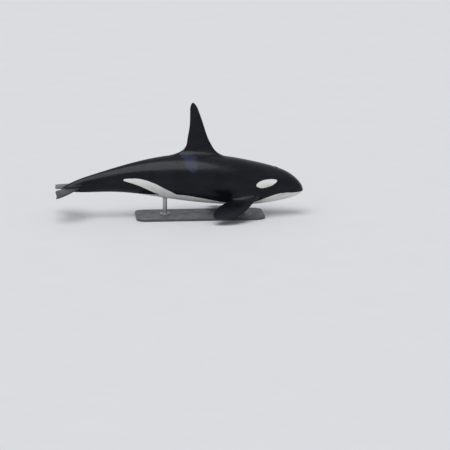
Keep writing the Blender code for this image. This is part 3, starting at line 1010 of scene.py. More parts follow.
@dataclass
class Blowhole(Feature):
    """The crescent on top of the head, open ahead, with its soft plug."""

    body: Body
    at: float = 0.118
    left: float = 0.012
    radius: float = 0.050
    span: float = 150.0
    depth: float = 0.011
    width: float = 0.0062
    reaches: tuple[float, ...] = (0.120, 0.098, 0.084)

    def __post_init__(self) -> None:
        """Finds the middle of the crescent's circle."""
        self.centre = np.array([self.at * self.body.length - 0.6 * self.radius, self.left])
        root = np.array([math.sqrt(self.centre[0] / self.body.length)])
        self.place = self.body.skin(root, np.zeros(1), np.ones(1))[0] + LEFTWARD * self.left

    def away(self, place: Array) -> Array:
        """How far places lie from the middle of the crescent's circle."""
        return np.linalg.norm(place - self.place, axis=1)

    def local(self, spots: Spots) -> tuple[Array, Array]:
        """Each spot's distance from the arc, above zero outside it, and from the circle's middle."""
        x, y = spots.behind - self.centre[0], spots.left - self.centre[1]
        turn = np.arctan2(y, x)
        half = math.radians(self.span) / 2
        held = np.clip(turn, -half, half)
        radial = np.hypot(x, y)
        off_arc = np.hypot(x - self.radius * np.cos(held), y - self.radius * np.sin(held))
        return np.where(radial > self.radius, off_arc, -off_arc), radial

    def relief(self, spots: Spots) -> Array:
        """The slit, the plug ahead of it and the rim behind it."""
        off, radial = self.local(spots)
        turn = np.abs(np.arctan2(spots.left - self.centre[1], spots.behind - self.centre[0]))
        behind_it = smoothstep(math.radians(self.span) / 2 + 0.1, math.radians(self.span) / 2 - 0.5, turn)
        slit = -self.depth * swell(off, self.width)
        plug = 0.006 * swell(radial, self.radius * 0.75)
        rim = 0.0045 * swell(off - 0.014, 0.011) * smoothstep(0.0, 0.006, off) * behind_it
        hollow = -0.004 * swell(radial - 0.095, 0.035)
        return (slit + plug + rim + hollow) * (spots.over > 0) * smoothstep(0.2, 0.13, radial)

    def dark(self, spots: Spots) -> Array:
        """Painted shade inside the slit."""
        off, radial = self.local(spots)
        return swell(off, 0.0065) * (spots.over > 0) * (radial < 0.2)


@dataclass
class Fold(Feature):
    """A fold of the skin with a soft lip on each side. One on a flank is mirrored to the other flank."""

    body: Body
    points: tuple[tuple[float, float], ...]
    depth: float = 0.009
    width: float = 0.0060
    lip: float = 0.004
    # how strongly painted shade darkens the inside of the fold
    shade_strength: float = 0.6
    reaches: tuple[float, ...] = (0.045, 0.028, 0.016)

    def __post_init__(self) -> None:
        """Lays its line on the skin, through shares of the length and degrees up from the left side."""
        shares, turns = np.array(self.points).T
        steps = np.linspace(0, len(shares) - 1, 60)
        line = [SmoothLine(dict(enumerate(values)))(steps) for values in (shares, np.radians(turns))]
        self.path = self.body.skin(np.sqrt(line[0]), np.cos(line[1]), np.sin(line[1]))

    def measure(self, place: Array) -> tuple[Array, Array]:
        """How far places lie from the fold, and how much of it there is beside them."""
        mirrored = np.stack([place[:, 0], np.abs(place[:, 1]), place[:, 2]], -1)
        away, which = distance_to_path(mirrored, self.path, 0.12)
        along = which / (len(self.path) - 1)
        return away, np.sqrt(np.clip(1 - (2 * along - 1) ** 4, 0, 1))

    def away(self, place: Array) -> Array:
        """How far places lie from the fold."""
        return self.measure(place)[0]

    def relief(self, spots: Spots) -> Array:
        """The fold and its lips."""
        away, whole = self.measure(spots.place)
        return (self.lip * swell(away - 0.016, 0.011) - self.depth * swell(away, self.width)) * whole

    def dark(self, spots: Spots) -> Array:
        """Painted shade inside the fold."""
        away, whole = self.measure(spots.place)
        return self.shade_strength * swell(away, 0.004) * whole


@dataclass
class Dimple(Feature):
    """A small pit on both flanks, such as the opening of the ear."""

    body: Body
    at: float
    height: float
    depth: float = 0.0035
    width: float = 0.0048
    reaches: tuple[float, ...] = (0.040, 0.028, 0.018, 0.012)

    def __post_init__(self) -> None:
        """Finds its place on the left."""
        above = self.height * self.body.length
        self.place = self.body.bent(self.at * self.body.length, self.body.side_of(self.at, above), above)

    def away(self, place: Array) -> Array:
        """How far places lie from it."""
        mirrored = np.stack([place[:, 0], np.abs(place[:, 1]), place[:, 2]], -1)
        return np.linalg.norm(mirrored - self.place, axis=1)

    def relief(self, spots: Spots) -> Array:
        """The pit."""
        return -self.depth * swell(self.away(spots.place), self.width)

    def dark(self, spots: Spots) -> Array:
        """Painted shade at its bottom."""
        return swell(self.away(spots.place), self.width * 0.8)


@dataclass
class Skin:
    """The whole skin: body, fins and the face's relief, as one closed mesh."""

    body: Body
    dorsal: DorsalFin
    paired: tuple[Fin, ...]
    mouth: Mouth
    features: tuple[Feature, ...]
    markings: Markings

    def first_points(self, grid: Grid) -> SkinPoints:
        """The body's own corners, from the snout's tip to the tail's."""
        roots = np.repeat(grid.roots, grid.corners)
        turns = np.tile(grid.turns, grid.count)
        end = self.body.tail_cap[1]
        root = np.concatenate([[0], roots, [math.sqrt(end)]])
        across = np.concatenate([[0], np.cos(turns), [0]])
        over = np.concatenate([[0], np.sin(turns), [0]])
        place = self.body.skin(root, across, over)
        place[-1] = self.body.bent(end * self.body.length, 0.0, 0.0)
        none = np.zeros(len(root))
        return SkinPoints(place, root, across, over, none, none, none - 1, none - 1)

    def spots(self, root: Array, across: Array, over: Array, place: Array) -> Spots:
        """What is known of places of the body.

        Args:
            root: Square roots of shares of the length.
            across: Cosines of the turns.
            over: Sines of the turns.
            place: The places in the frame.

        Returns:
            The spots.
        """
        behind, left, above = self.body.straight(root, across, over)
        return Spots(place, root**2, behind, left, above, over)

    def marks(self, root: Array, across: Array, over: Array, place: Array) -> tuple[Array, Array]:
        """White and grey at places of the body, by the same four as spots takes."""
        spots = self.spots(root, across, over, place)
        map_points = np.stack([spots.behind, self.body.girth_from_belly(root, across, over)], -1)
        away, _ = self.mouth.measure(spots)
        past = spots.share > self.mouth.corner
        above_lips = np.where(past, np.abs(away) + 0.02, away)
        return self.markings.white(map_points, above_lips), self.markings.grey(map_points)

    def grey_beside(self, place: Array) -> Array:
        """The grey at places just above the ridge of the back, where it dies away upwards."""
        share = np.interp(-place[:, 0], -self.body.axis_x, self.body.shares)
        ridge = self.body.skin(np.sqrt(share), np.zeros_like(share), np.ones_like(share))[:, 2]
        rounds = self.body.half_girth(share) - np.abs(place[:, 1])
        grey = self.markings.grey(np.stack([share * self.body.length, rounds], -1))
        return np.where(place[:, 2] > ridge - 0.2, grey - 2 * np.maximum(place[:, 2] - ridge, 0), -1.0)

    def grow(self, fin: Fin, grid: Grid, points: SkinPoints, faces: list[tuple[int, ...]], mirror: bool) -> None:
        """Adds a fin and its fillet to the mesh.

        Args:
            fin: The fin.
            grid: The body's rings.
            points: What is known at the corners, which grows.
            faces: The faces, which grow.
            mirror: Whether its mirror image is added instead.
        """
        edge, turn = grid.round_opening(fin.opening)
        ring, corner = np.array(edge).T
        root, round_it = grid.roots[ring], corner * math.tau / grid.corners
        start = self.body.skin(root, np.cos(round_it), np.sin(round_it))
        outward = self.body.outward(root, round_it)
        reaches = fin.reaches()
        loops = [fin.loop(float(reach), turn) for reach in reaches]
        leave = fin.loop(float(reaches[0]) + 0.01, turn) - loops[0]
        leave /= np.linalg.norm(leave, axis=1, keepdims=True)
        rows = 10
        turned = fillet(start, outward, loops[0], leave, rows, fin.pulls)
        white, saddle = self.marks(root, np.cos(round_it), np.sin(round_it), start)
        travelled = np.linalg.norm(np.diff(np.concatenate([start[None], turned]), axis=0), axis=2).cumsum(0)
        whites = [white - 1.5 * way for way in travelled] + [fin.underside(float(r), turn) for r in reaches]
        saddles = [self.grey_beside(row) for row in turned] + [np.full(len(turn), -1.0)] * len(loops)
        if whites[-len(loops)].max() > 0:
            first = whites[-len(loops)]
            for row in range(rows - 1):
                share = (row + 1) / rows
                whites[row] = np.maximum(whites[row], first - 0.25 * (1 - share) ** 1.5)
        tip = loops[-1].mean(0)
        place = np.concatenate([*turned, *loops, tip[None]])
        if mirror:
            place = place * np.array([1, -1, 1])
            corner = grid.corners // 2 - corner
        base = len(points.place)
        count = len(turn)
        total = len(place)
        points.place = np.concatenate([points.place, place])
        for name in ("root", "across", "over"):
            setattr(points, name, np.concatenate([getattr(points, name), np.zeros(total)]))
        turned_count = len(turned) * count
        points.grown = np.concatenate([points.grown, np.ones(total)])
        points.free = np.concatenate([points.free, np.arange(total) < turned_count + 2 * count])
        points.white = np.concatenate([points.white, *whites, [-1.0]])
        points.saddle = np.concatenate([points.saddle, *saddles, [-1.0]])
        loop_numbers = [[grid.number(i, j) for i, j in zip(ring, corner)]]
        for k in range(rows - 1 + len(loops)):
            loop_numbers.append([base + k * count + m for m in range(count)])
        for here, there in zip(loop_numbers, loop_numbers[1:]):
            faces += [(here[m - 1], here[m], there[m], there[m - 1]) for m in range(count)]
        last = loop_numbers[-1]
        faces += [(last[m - 1], last[m], base + total - 1) for m in range(count)]
        edge_numbers = np.array(loop_numbers[0])
        points.grown[edge_numbers] = 1.0
        points.white[edge_numbers], points.saddle[edge_numbers] = white, saddle
        around = range(-fin.eased, fin.eased + 1)
        for i, j in zip(ring, corner):
            points.free[[grid.number(i + a, j + b) for a in around for b in around]] = 1.0

    def base(self) -> tuple[SkinPoints, list[tuple[int, ...]]]:
        """The grid with every fin grown out of it.

        Returns:
            What is known at its corners, and its faces.
        """
        grid = Grid(self.body)
        points = self.first_points(grid)
        closed = np.zeros((grid.count - 1, grid.corners), bool)
        for fin in (self.dorsal, *self.paired):
            first, last, low, high = grid.window(fin.opening)
            here = np.arange(low, high)
            closed[first:last, here % grid.corners] = True
            if fin is not self.dorsal:
                closed[first:last, (grid.corners // 2 - 1 - here) % grid.corners] = True
        faces = [
            (grid.number(i, j), grid.number(i, j + 1), grid.number(i + 1, j + 1), grid.number(i + 1, j))
            for i, j in zip(*np.nonzero(~closed))
        ]
        end = grid.number(grid.count, 0)
        for j in range(grid.corners):
            faces.append((0, grid.number(0, j + 1), grid.number(0, j)))
            faces.append((end, grid.number(grid.count - 1, j), grid.number(grid.count - 1, j + 1)))
        self.grow(self.dorsal, grid, points, faces, mirror=False)
        for fin in self.paired:
            self.grow(fin, grid, points, faces, mirror=False)
            self.grow(fin, grid, points, faces, mirror=True)
        return points, faces

    def build(self) -> bpy.types.Object:
        """Makes the skin's object, with its markings as attributes.

        Returns:
            The object.
        """
        points, faces = self.base()
        points.place = self.soften(points.place, faces, points.free > 0.5)
        used = np.unique(np.concatenate([np.array(f) for f in faces]))
        renumber = np.full(len(points.place), -1)
        renumber[used] = np.arange(len(used))
        mesh = bpy.data.meshes.new("orca_skin")
        mesh.from_pydata(points.place[used].tolist(), [], [tuple(int(renumber[v]) for v in f) for f in faces])
        for name in ("root", "across", "over", "grown", "white", "saddle"):
            layer = mesh.attributes.new(name, "FLOAT", "POINT")
            layer.data.foreach_set("value", getattr(points, name)[used].astype(np.float32))
        shape = bmesh.new()
        shape.from_mesh(mesh)
        self.refine(shape)
        bmesh.ops.triangulate(shape, faces=[f for f in shape.faces if len(f.verts) > 4])
        bmesh.ops.recalc_face_normals(shape, faces=shape.faces)
        shape.to_mesh(mesh)
        shape.free()
        mesh.shade_smooth()
        self.finish_mesh(mesh)
        made = bpy.data.objects.new("orca_skin", mesh)
        bpy.context.scene.collection.objects.link(made)
        return made

    def soften(self, place: Array, faces: list[tuple[int, ...]], chosen: Array, rounds: int = 300) -> Array:
        """Evens out the fillets, keeping the directions in which they meet the body and the fins.

        Args:
            place: Where the corners lie.
            faces: The faces.
            chosen: Which corners may move.
            rounds: How often they are moved a little.

        Returns:
            Where the corners lie afterwards.
        """
        pairs = {tuple(sorted((f[i - 1], f[i]))) for f in faces for i in range(len(f))}
        edges = np.array(list(pairs))
        near = chosen.copy()
        near[edges[chosen[edges].any(1)].ravel()] = True
        edges = edges[near[edges].any(1)]
        numbers, local = np.unique(edges, return_inverse=True)
        first, second = local.reshape(-1, 2).T
        joined = np.bincount(np.concatenate([first, second]))[:, None]
        moved, moves = place[numbers], (chosen[numbers] * 0.35)[:, None]

        def pull(values: Array) -> Array:
            """From each value to the mean of those joined to it."""
            total = np.zeros_like(values)
            np.add.at(total, first, values[second])
            np.add.at(total, second, values[first])
            return total / joined - values

        for _ in range(rounds):
            moved = moved - moves * pull(pull(moved))
        place = place.copy()
        place[numbers] = moved
        return place

    def refine(self, shape: bmesh.types.BMesh) -> None:
        """Splits the faces round each feature until they can hold its relief."""
        for feature in self.features:
            for reach in feature.reaches:
                self.split(shape, feature.away, reach)

    def split(self, shape: bmesh.types.BMesh, near: Callable[[Array], Array], reach: float) -> None:
        """Splits in four the body's faces with a corner within reach, and lays the new corners on the skin.

        Args:
            shape: The mesh.
            near: Gives distances from places.
            reach: How far the splitting goes.
        """
        names = ("root", "across", "over", "grown")
        layers = {name: shape.verts.layers.float[name] for name in names}
        shape.verts.ensure_lookup_table()
        place = np.array([v.co[:] for v in shape.verts])
        grown = np.array([v[layers["grown"]] for v in shape.verts])
        chosen = np.nonzero((near(place) < reach) & (grown < 0.5))[0]
        edges = {e for n in chosen for f in shape.verts[int(n)].link_faces for e in f.edges}
        known = len(shape.verts)
        bmesh.ops.subdivide_edges(shape, edges=list(edges), cuts=1, use_grid_fill=True)
        shape.verts.ensure_lookup_table()
        new = shape.verts[known:]
        root, across, over, _ = (np.array([v[layers[name]] for v in new]) for name in names)
        size = np.maximum(np.hypot(across, over), 1e-9)
        across, over = across / size, over / size
        for vertex, co, x, y in zip(new, self.body.skin(root, across, over), across, over):
            vertex.co = co
            vertex[layers["across"]], vertex[layers["over"]] = x, y

    def finish_mesh(self, mesh: bpy.types.Mesh) -> None:
        """Raises the features and stores the markings, with the painted shade of the features' hollows.

        Args:
            mesh: The skin's mesh.
        """
        count = len(mesh.vertices)
        place = np.zeros(count * 3)
        mesh.vertices.foreach_get("co", place)
        place = place.reshape(-1, 3)
        outward = np.zeros(count * 3)
        mesh.vertex_normals.foreach_get("vector", outward)
        outward = outward.reshape(-1, 3)
        known = {}
        for name in ("root", "across", "over", "grown", "white", "saddle"):
            known[name] = np.zeros(count)
            mesh.attributes[name].data.foreach_get("value", known[name])
        own = known["grown"] < 0.5
        root, across, over = (known[name][own] for name in ("root", "across", "over"))
        white, saddle = known["white"], known["saddle"]
        white[own], saddle[own] = self.marks(root, across, over, place[own])
        spots = self.spots(root, across, over, place[own])
        height = np.zeros(count)
        crease_shade = np.zeros(count)
        height[own] = sum(feature.relief(spots) for feature in self.features)
        # painted shade in the features' grooves, slits, folds and pits
        crease_shade[own] = np.max([feature.dark(spots) for feature in self.features], axis=0)
        place += outward * height[:, None]
        mesh.vertices.foreach_set("co", place.ravel())
        for name in ("root", "across", "over", "grown"):
            mesh.attributes.remove(mesh.attributes[name])
        mesh.attributes["white"].data.foreach_set("value", white)
        mesh.attributes["saddle"].data.foreach_set("value", saddle)
        mesh.attributes.new("crease_shade", "FLOAT", "POINT").data.foreach_set("value", crease_shade)
        mesh.update()


class Nodes:
    """A short hand for a material's nodes."""

    def __init__(self, name: str) -> None:
        """Starts a material.

        Args:
            name: Its name.
        """
        self.material = bpy.data.materials.new(name)
        self.material.use_nodes = True
        self.tree = self.material.node_tree
        self.shader = self.tree.nodes["Principled BSDF"]

    def link(self, source: bpy.types.NodeSocket, target: bpy.types.NodeSocket) -> None:
        """Joins two sockets."""
        self.tree.links.new(source, target)

    def add(self, kind: str, inputs: Mapping[int | str, object] | None = None, **settings: object) -> bpy.types.Node:
        """Adds a node.

        Args:
            kind: Its type, after the word ShaderNode.
            inputs: What its inputs hold or are joined to.
            settings: Its own settings.

        Returns:
            The node.
        """
        node = self.tree.nodes.new("ShaderNode" + kind)
        for name, value in settings.items():
            setattr(node, name, value)
        for key, value in (inputs or {}).items():
            if isinstance(value, bpy.types.NodeSocket):
                self.link(value, node.inputs[key])
            else:
                node.inputs[key].default_value = value
        return node

    def math(self, operation: str, *values: object, clamp: bool = False) -> bpy.types.NodeSocket:
        """A sum or the like of up to three numbers, as a socket."""
        return self.add("Math", dict(enumerate(values)), operation=operation, use_clamp=clamp).outputs[0]

    def mix(self, factor: object, first: object, second: object) -> bpy.types.NodeSocket:
        """A mix of two colours, as a socket."""
        node = self.add("Mix", data_type="RGBA")
        for key, value in ((0, factor), (6, first), (7, second)):
            if isinstance(value, bpy.types.NodeSocket):
                self.link(value, node.inputs[key])
            else:
                node.inputs[key].default_value = value
        return node.outputs[2]

    def ramp(self, value: object, low: float, high: float, to_low: float = 0, to_high: float = 1) -> bpy.types.NodeSocket:
        """A value carried smoothly from one range to another, as a socket."""
        inputs = {0: value, 1: low, 2: high, 3: to_low, 4: to_high}
        return self.add("MapRange", inputs, interpolation_type="SMOOTHSTEP").outputs[0]

    def noise(self, scale: float, detail: float = 3, vector: object = None, rough: float = 0.5) -> bpy.types.NodeSocket:
        """A noise between 0 and 1, as a socket."""
        inputs = {"Scale": scale, "Detail": detail, "Roughness": rough, "Vector": vector or self.places()}
        return self.add("TexNoise", inputs).outputs["Fac"]

    def places(self, stretch: tuple[float, float, float] = (1, 1, 1)) -> bpy.types.NodeSocket:
        """The object's own coordinates, stretched, as a socket."""
        own = self.add("TexCoord").outputs["Object"]
        return self.add("Mapping", {0: own, 3: stretch}).outputs[0]

    def stored(self, name: str) -> bpy.types.NodeSocket:
        """A number kept at the mesh's corners, as a socket."""
        return self.add("Attribute", attribute_name=name).outputs["Fac"]

    def bump(self, height: object, distance: float, below: object = None) -> bpy.types.NodeSocket:
        """A bump of that many metres, as a socket."""
        node = self.add("Bump", {"Height": height, "Distance": distance})
        if below is not None:
            self.link(below, node.inputs["Normal"])
        return node.outputs[0]


@dataclass(frozen=True)
class SkinFinish:
    """Wet skin: black with a tint of painted blue sky reflection above, off-white below, with a smoky grey saddle that
    carries the same painted blue, and painted shade in its hollows.
    """

    # near black, with a blue tint that is painted sky reflection
    black: tuple[float, float, float, float] = (0.0036, 0.0042, 0.0070, 1)
    black_worn: tuple[float, float, float, float] = (0.0080, 0.0092, 0.0140, 1)
    # the saddle's own grey, with a blue tint that is painted sky reflection
    saddle: tuple[float, float, float, float] = (0.017, 0.025, 0.046, 1)
    scratch: tuple[float, float, float, float] = (0.030, 0.034, 0.044, 1)
    white: tuple[float, float, float, float] = (0.70, 0.70, 0.67, 1)
    white_worn: tuple[float, float, float, float] = (0.57, 0.57, 0.53, 1)
    # the colour of the painted shade in grooves, slits, folds and pits
    crease_shade: tuple[float, float, float, float] = (0.008, 0.006, 0.006, 1)
    rake_turn: tuple[float, float, float] = (0.25, 0.35, 0.0)
    scar_at: tuple[float, float, float] = (0.09, -0.04, 2.0)

    def make(self) -> bpy.types.Material:
        """Builds the material.

        Returns:
            The material.
        """
        n = Nodes("orca_skin")
        slow = n.noise(3.0, 4, n.places((0.5, 1, 1)))
        fine = n.noise(42.0, 3)
        ragged = n.math("MULTIPLY", n.math("SUBTRACT", fine, 0.5), 0.0028)
        ragged = n.math("ADD", ragged, n.math("MULTIPLY", n.math("SUBTRACT", n.noise(6.0, 2), 0.5), 0.020))
        white = n.ramp(n.math("ADD", n.stored("white"), ragged), -0.0035, 0.0035)
        smoke = n.noise(9.0, 5, n.places((0.35, 1, 1.0)))
        smoke = n.math("MULTIPLY", n.math("SUBTRACT", smoke, 0.5), 0.16)
        saddle = n.ramp(n.math("ADD", n.stored("saddle"), smoke), -0.045, 0.065)
        black = n.mix(n.ramp(slow, 0.35, 0.75), self.black, self.black_worn)
        dark = n.mix(n.math("MULTIPLY", saddle, 0.9), black, self.saddle)
        scratched = self.scratches(n)
        dark = n.mix(n.math("MAXIMUM", scratched, self.scar(n)), dark, self.scratch)
        pale = n.mix(n.ramp(n.noise(5.0, 6, n.places((0.6, 1, 1))), 0.45, 0.8), self.white, self.white_worn)
        colour = n.mix(white, dark, pale)
        # painted shade darkens the grooves, slits, folds and pits
        colour = n.mix(n.ramp(n.stored("crease_shade"), 0.25, 0.8), colour, self.crease_shade)
        n.link(colour, n.shader.inputs["Base Color"])
        rough = n.ramp(n.noise(11.0, 4, n.places((0.5, 1, 1))), 0.25, 0.75, 0.17, 0.34)
        n.link(n.math("ADD", rough, n.math("MULTIPLY", white, 0.06)), n.shader.inputs["Roughness"])
        pores = n.bump(n.noise(260.0, 2), 0.0004)
        folds = n.bump(n.noise(16.0, 3, n.places((0.4, 1, 1))), 0.0022, pores)
        n.link(n.bump(n.math("SUBTRACT", 1.0, scratched), 0.0008, folds), n.shader.inputs["Normal"])
        n.shader.inputs["IOR"].default_value = 1.34
        n.shader.inputs["Specular IOR Level"].default_value = 0.29
        n.shader.inputs["Coat Weight"].default_value = 0.06
        n.shader.inputs["Coat Roughness"].default_value = 0.08
        return n.material

    def scratches(self, n: Nodes) -> bpy.types.NodeSocket:
        """Groups of thin, parallel, pale lines in a few places, such as teeth leave."""
        tilt = n.add("Mapping", {0: n.places(), 2: self.rake_turn}).outputs[0]
        inputs = {"Vector": tilt, "Scale": 9.0, "Distortion": 1.6, "Detail": 1.0, "Detail Scale": 0.35}
        bands = n.add("TexWave", inputs, bands_direction="Z").outputs["Fac"]
        where = n.ramp(n.noise(1.7, 1, n.add("Mapping", {0: tilt, 3: (0.45, 1.3, 1.3)}).outputs[0]), 0.62, 0.66)
        broken = n.ramp(n.noise(7.0, 2, n.places((0.4, 1, 1))), 0.42, 0.56)
        thin = n.ramp(bands, 0.955, 0.995)
        return n.math("MULTIPLY", n.math("MULTIPLY", thin, where), n.math("MULTIPLY", broken, 0.6))

    def scar(self, n: Nodes) -> bpy.types.NodeSocket:
        """A small pale scar on the fin's right face."""
        away = n.add("VectorMath", {0: n.places(), 1: self.scar_at}, operation="DISTANCE").outputs["Value"]
        away = n.math("ADD", away, n.math("MULTIPLY", n.noise(40.0), 0.03))
        return n.ramp(away, 0.022, 0.040, 0.8, 0)


@dataclass(frozen=True)
class EyeFinish:
    """A dark brown iris round a black pupil, under a clear wet front."""

    iris: tuple[float, float, float, float] = (0.038, 0.016, 0.007, 1)
    iris_edge: tuple[float, float, float, float] = (0.008, 0.006, 0.007, 1)
    white: tuple[float, float, float, float] = (0.09, 0.06, 0.052, 1)
    pupil: tuple[float, float, float, float] = (0.001, 0.001, 0.002, 1)
    iris_radius: float = 0.0165
    pupil_radius: float = 0.0062

    def make(self) -> bpy.types.Material:
        """Builds the material. The ball's own Z points out of the head and its X ahead.

        Returns:
            The material.
        """
        n = Nodes("orca_eye")
        flat = n.add("VectorMath", {0: n.places((1, 1.25, 0))}, operation="LENGTH").outputs["Value"]
        spokes = n.add("TexNoise", {"Scale": 300.0, "Detail": 2.0, "Vector": n.places((1, 1, 0.1))}).outputs["Fac"]
        iris = n.mix(n.ramp(spokes, 0.35, 0.7), self.iris, self.iris_edge)
        iris = n.mix(n.ramp(flat, self.iris_radius * 0.75, self.iris_radius), iris, self.iris_edge)
        inner = n.mix(n.ramp(flat, self.pupil_radius * 0.92, self.pupil_radius * 1.08), self.pupil, iris)
        outer = n.mix(n.ramp(n.noise(160.0), 0.4, 0.7), self.white, self.iris_edge)
        n.link(
            n.mix(n.ramp(flat, self.iris_radius * 0.97, self.iris_radius * 1.06), inner, outer),
            n.shader.inputs["Base Color"],
        )
        n.link(n.ramp(n.noise(90.0), 0.3, 0.7, 0.03, 0.07), n.shader.inputs["Roughness"])
        n.shader.inputs["IOR"].default_value = 1.34
        n.shader.inputs["Specular IOR Level"].default_value = 0.40
        return n.material


@dataclass(frozen=True)
class PaintFinish:
    """Satin paint on the stand's base, with the faint texture of a roller and a little dust."""

    colour: tuple[float, float, float, float] = (0.055, 0.057, 0.062, 1)
    dusty: tuple[float, float, float, float] = (0.085, 0.085, 0.088, 1)

    def make(self) -> bpy.types.Material:
        """Builds the material.

        Returns:
            The material.
        """
        n = Nodes("stand_paint")
        n.link(n.mix(n.ramp(n.noise(2.2, 5), 0.4, 0.75), self.colour, self.dusty), n.shader.inputs["Base Color"])
        n.link(n.ramp(n.noise(6.0, 4), 0.3, 0.7, 0.38, 0.52), n.shader.inputs["Roughness"])
        n.link(n.bump(n.noise(140.0, 3), 0.0006), n.shader.inputs["Normal"])
        return n.material


@dataclass(frozen=True)
class SteelFinish:
    """Brushed steel with its grain round the rod."""

    colour: tuple[float, float, float, float] = (0.50, 0.50, 0.51, 1)
    shade: tuple[float, float, float, float] = (0.36, 0.36, 0.38, 1)

    def make(self) -> bpy.types.Material:
        """Builds the material.

        Returns:
            The material.
        """
        n = Nodes("brushed_steel")
        grain = n.noise(30.0, 4, n.places((1, 1, 30)))
        n.link(n.mix(grain, self.shade, self.colour), n.shader.inputs["Base Color"])
        n.link(n.ramp(grain, 0.3, 0.7, 0.24, 0.40), n.shader.inputs["Roughness"])
        n.link(n.bump(grain, 0.0003), n.shader.inputs["Normal"])
        n.shader.inputs["Metallic"].default_value = 1.0
        return n.material


@dataclass(frozen=True)
class RubberFinish:
    """Matt black rubber, a little worn."""

    colour: tuple[float, float, float, float] = (0.012, 0.012, 0.012, 1)
    worn: tuple[float, float, float, float] = (0.030, 0.030, 0.031, 1)

    def make(self) -> bpy.types.Material:
        """Builds the material.

        Returns:
            The material.
        """
        n = Nodes("stand_rubber")
        n.link(n.mix(n.ramp(n.noise(40.0), 0.4, 0.7), self.colour, self.worn), n.shader.inputs["Base Color"])
        n.link(n.ramp(n.noise(25.0), 0.3, 0.7, 0.55, 0.75), n.shader.inputs["Roughness"])
        return n.material


def new_object(name: str, points: Iterable[Iterable[float]], faces: list[tuple[int, ...]]) -> bpy.types.Object:
    """A smooth mesh object whose sharp edges stay sharp.

    Args:
        name: Its name.
        points: Its corners.
        faces: Its faces, by the numbers of their corners.

    Returns:
        The object.
    """
    mesh = bpy.data.meshes.new(name)
    mesh.from_pydata([tuple(point) for point in points], [], faces)
    shape = bmesh.new()
    shape.from_mesh(mesh)
    bmesh.ops.recalc_face_normals(shape, faces=shape.faces)
    shape.to_mesh(mesh)
    shape.free()
    mesh.shade_smooth()
    mesh.set_sharp_from_angle(angle=math.radians(35))
    made = bpy.data.objects.new(name, mesh)
    bpy.context.scene.collection.objects.link(made)
    return made


def stacked(loops: Array, closed: bool = False) -> tuple[Array, list[tuple[int, ...]]]:
    """Joins loops of equal count into a surface.

    Args:
        loops: The loops.
        closed: Whether the last one joins the first. Otherwise each end gets a flat cap.

    Returns:
        The corners and the faces.
    """
    rows, count = loops.shape[:2]
    faces = []
    for i in range(rows if closed else rows - 1):
        here, there = i * count, (i + 1) % rows * count
        faces += [(here + j, here + (j + 1) % count, there + (j + 1) % count, there + j) for j in range(count)]
    if not closed:
        faces += [tuple(range(count)), tuple(range((rows - 1) * count, rows * count))]
    return loops.reshape(-1, 3), faces


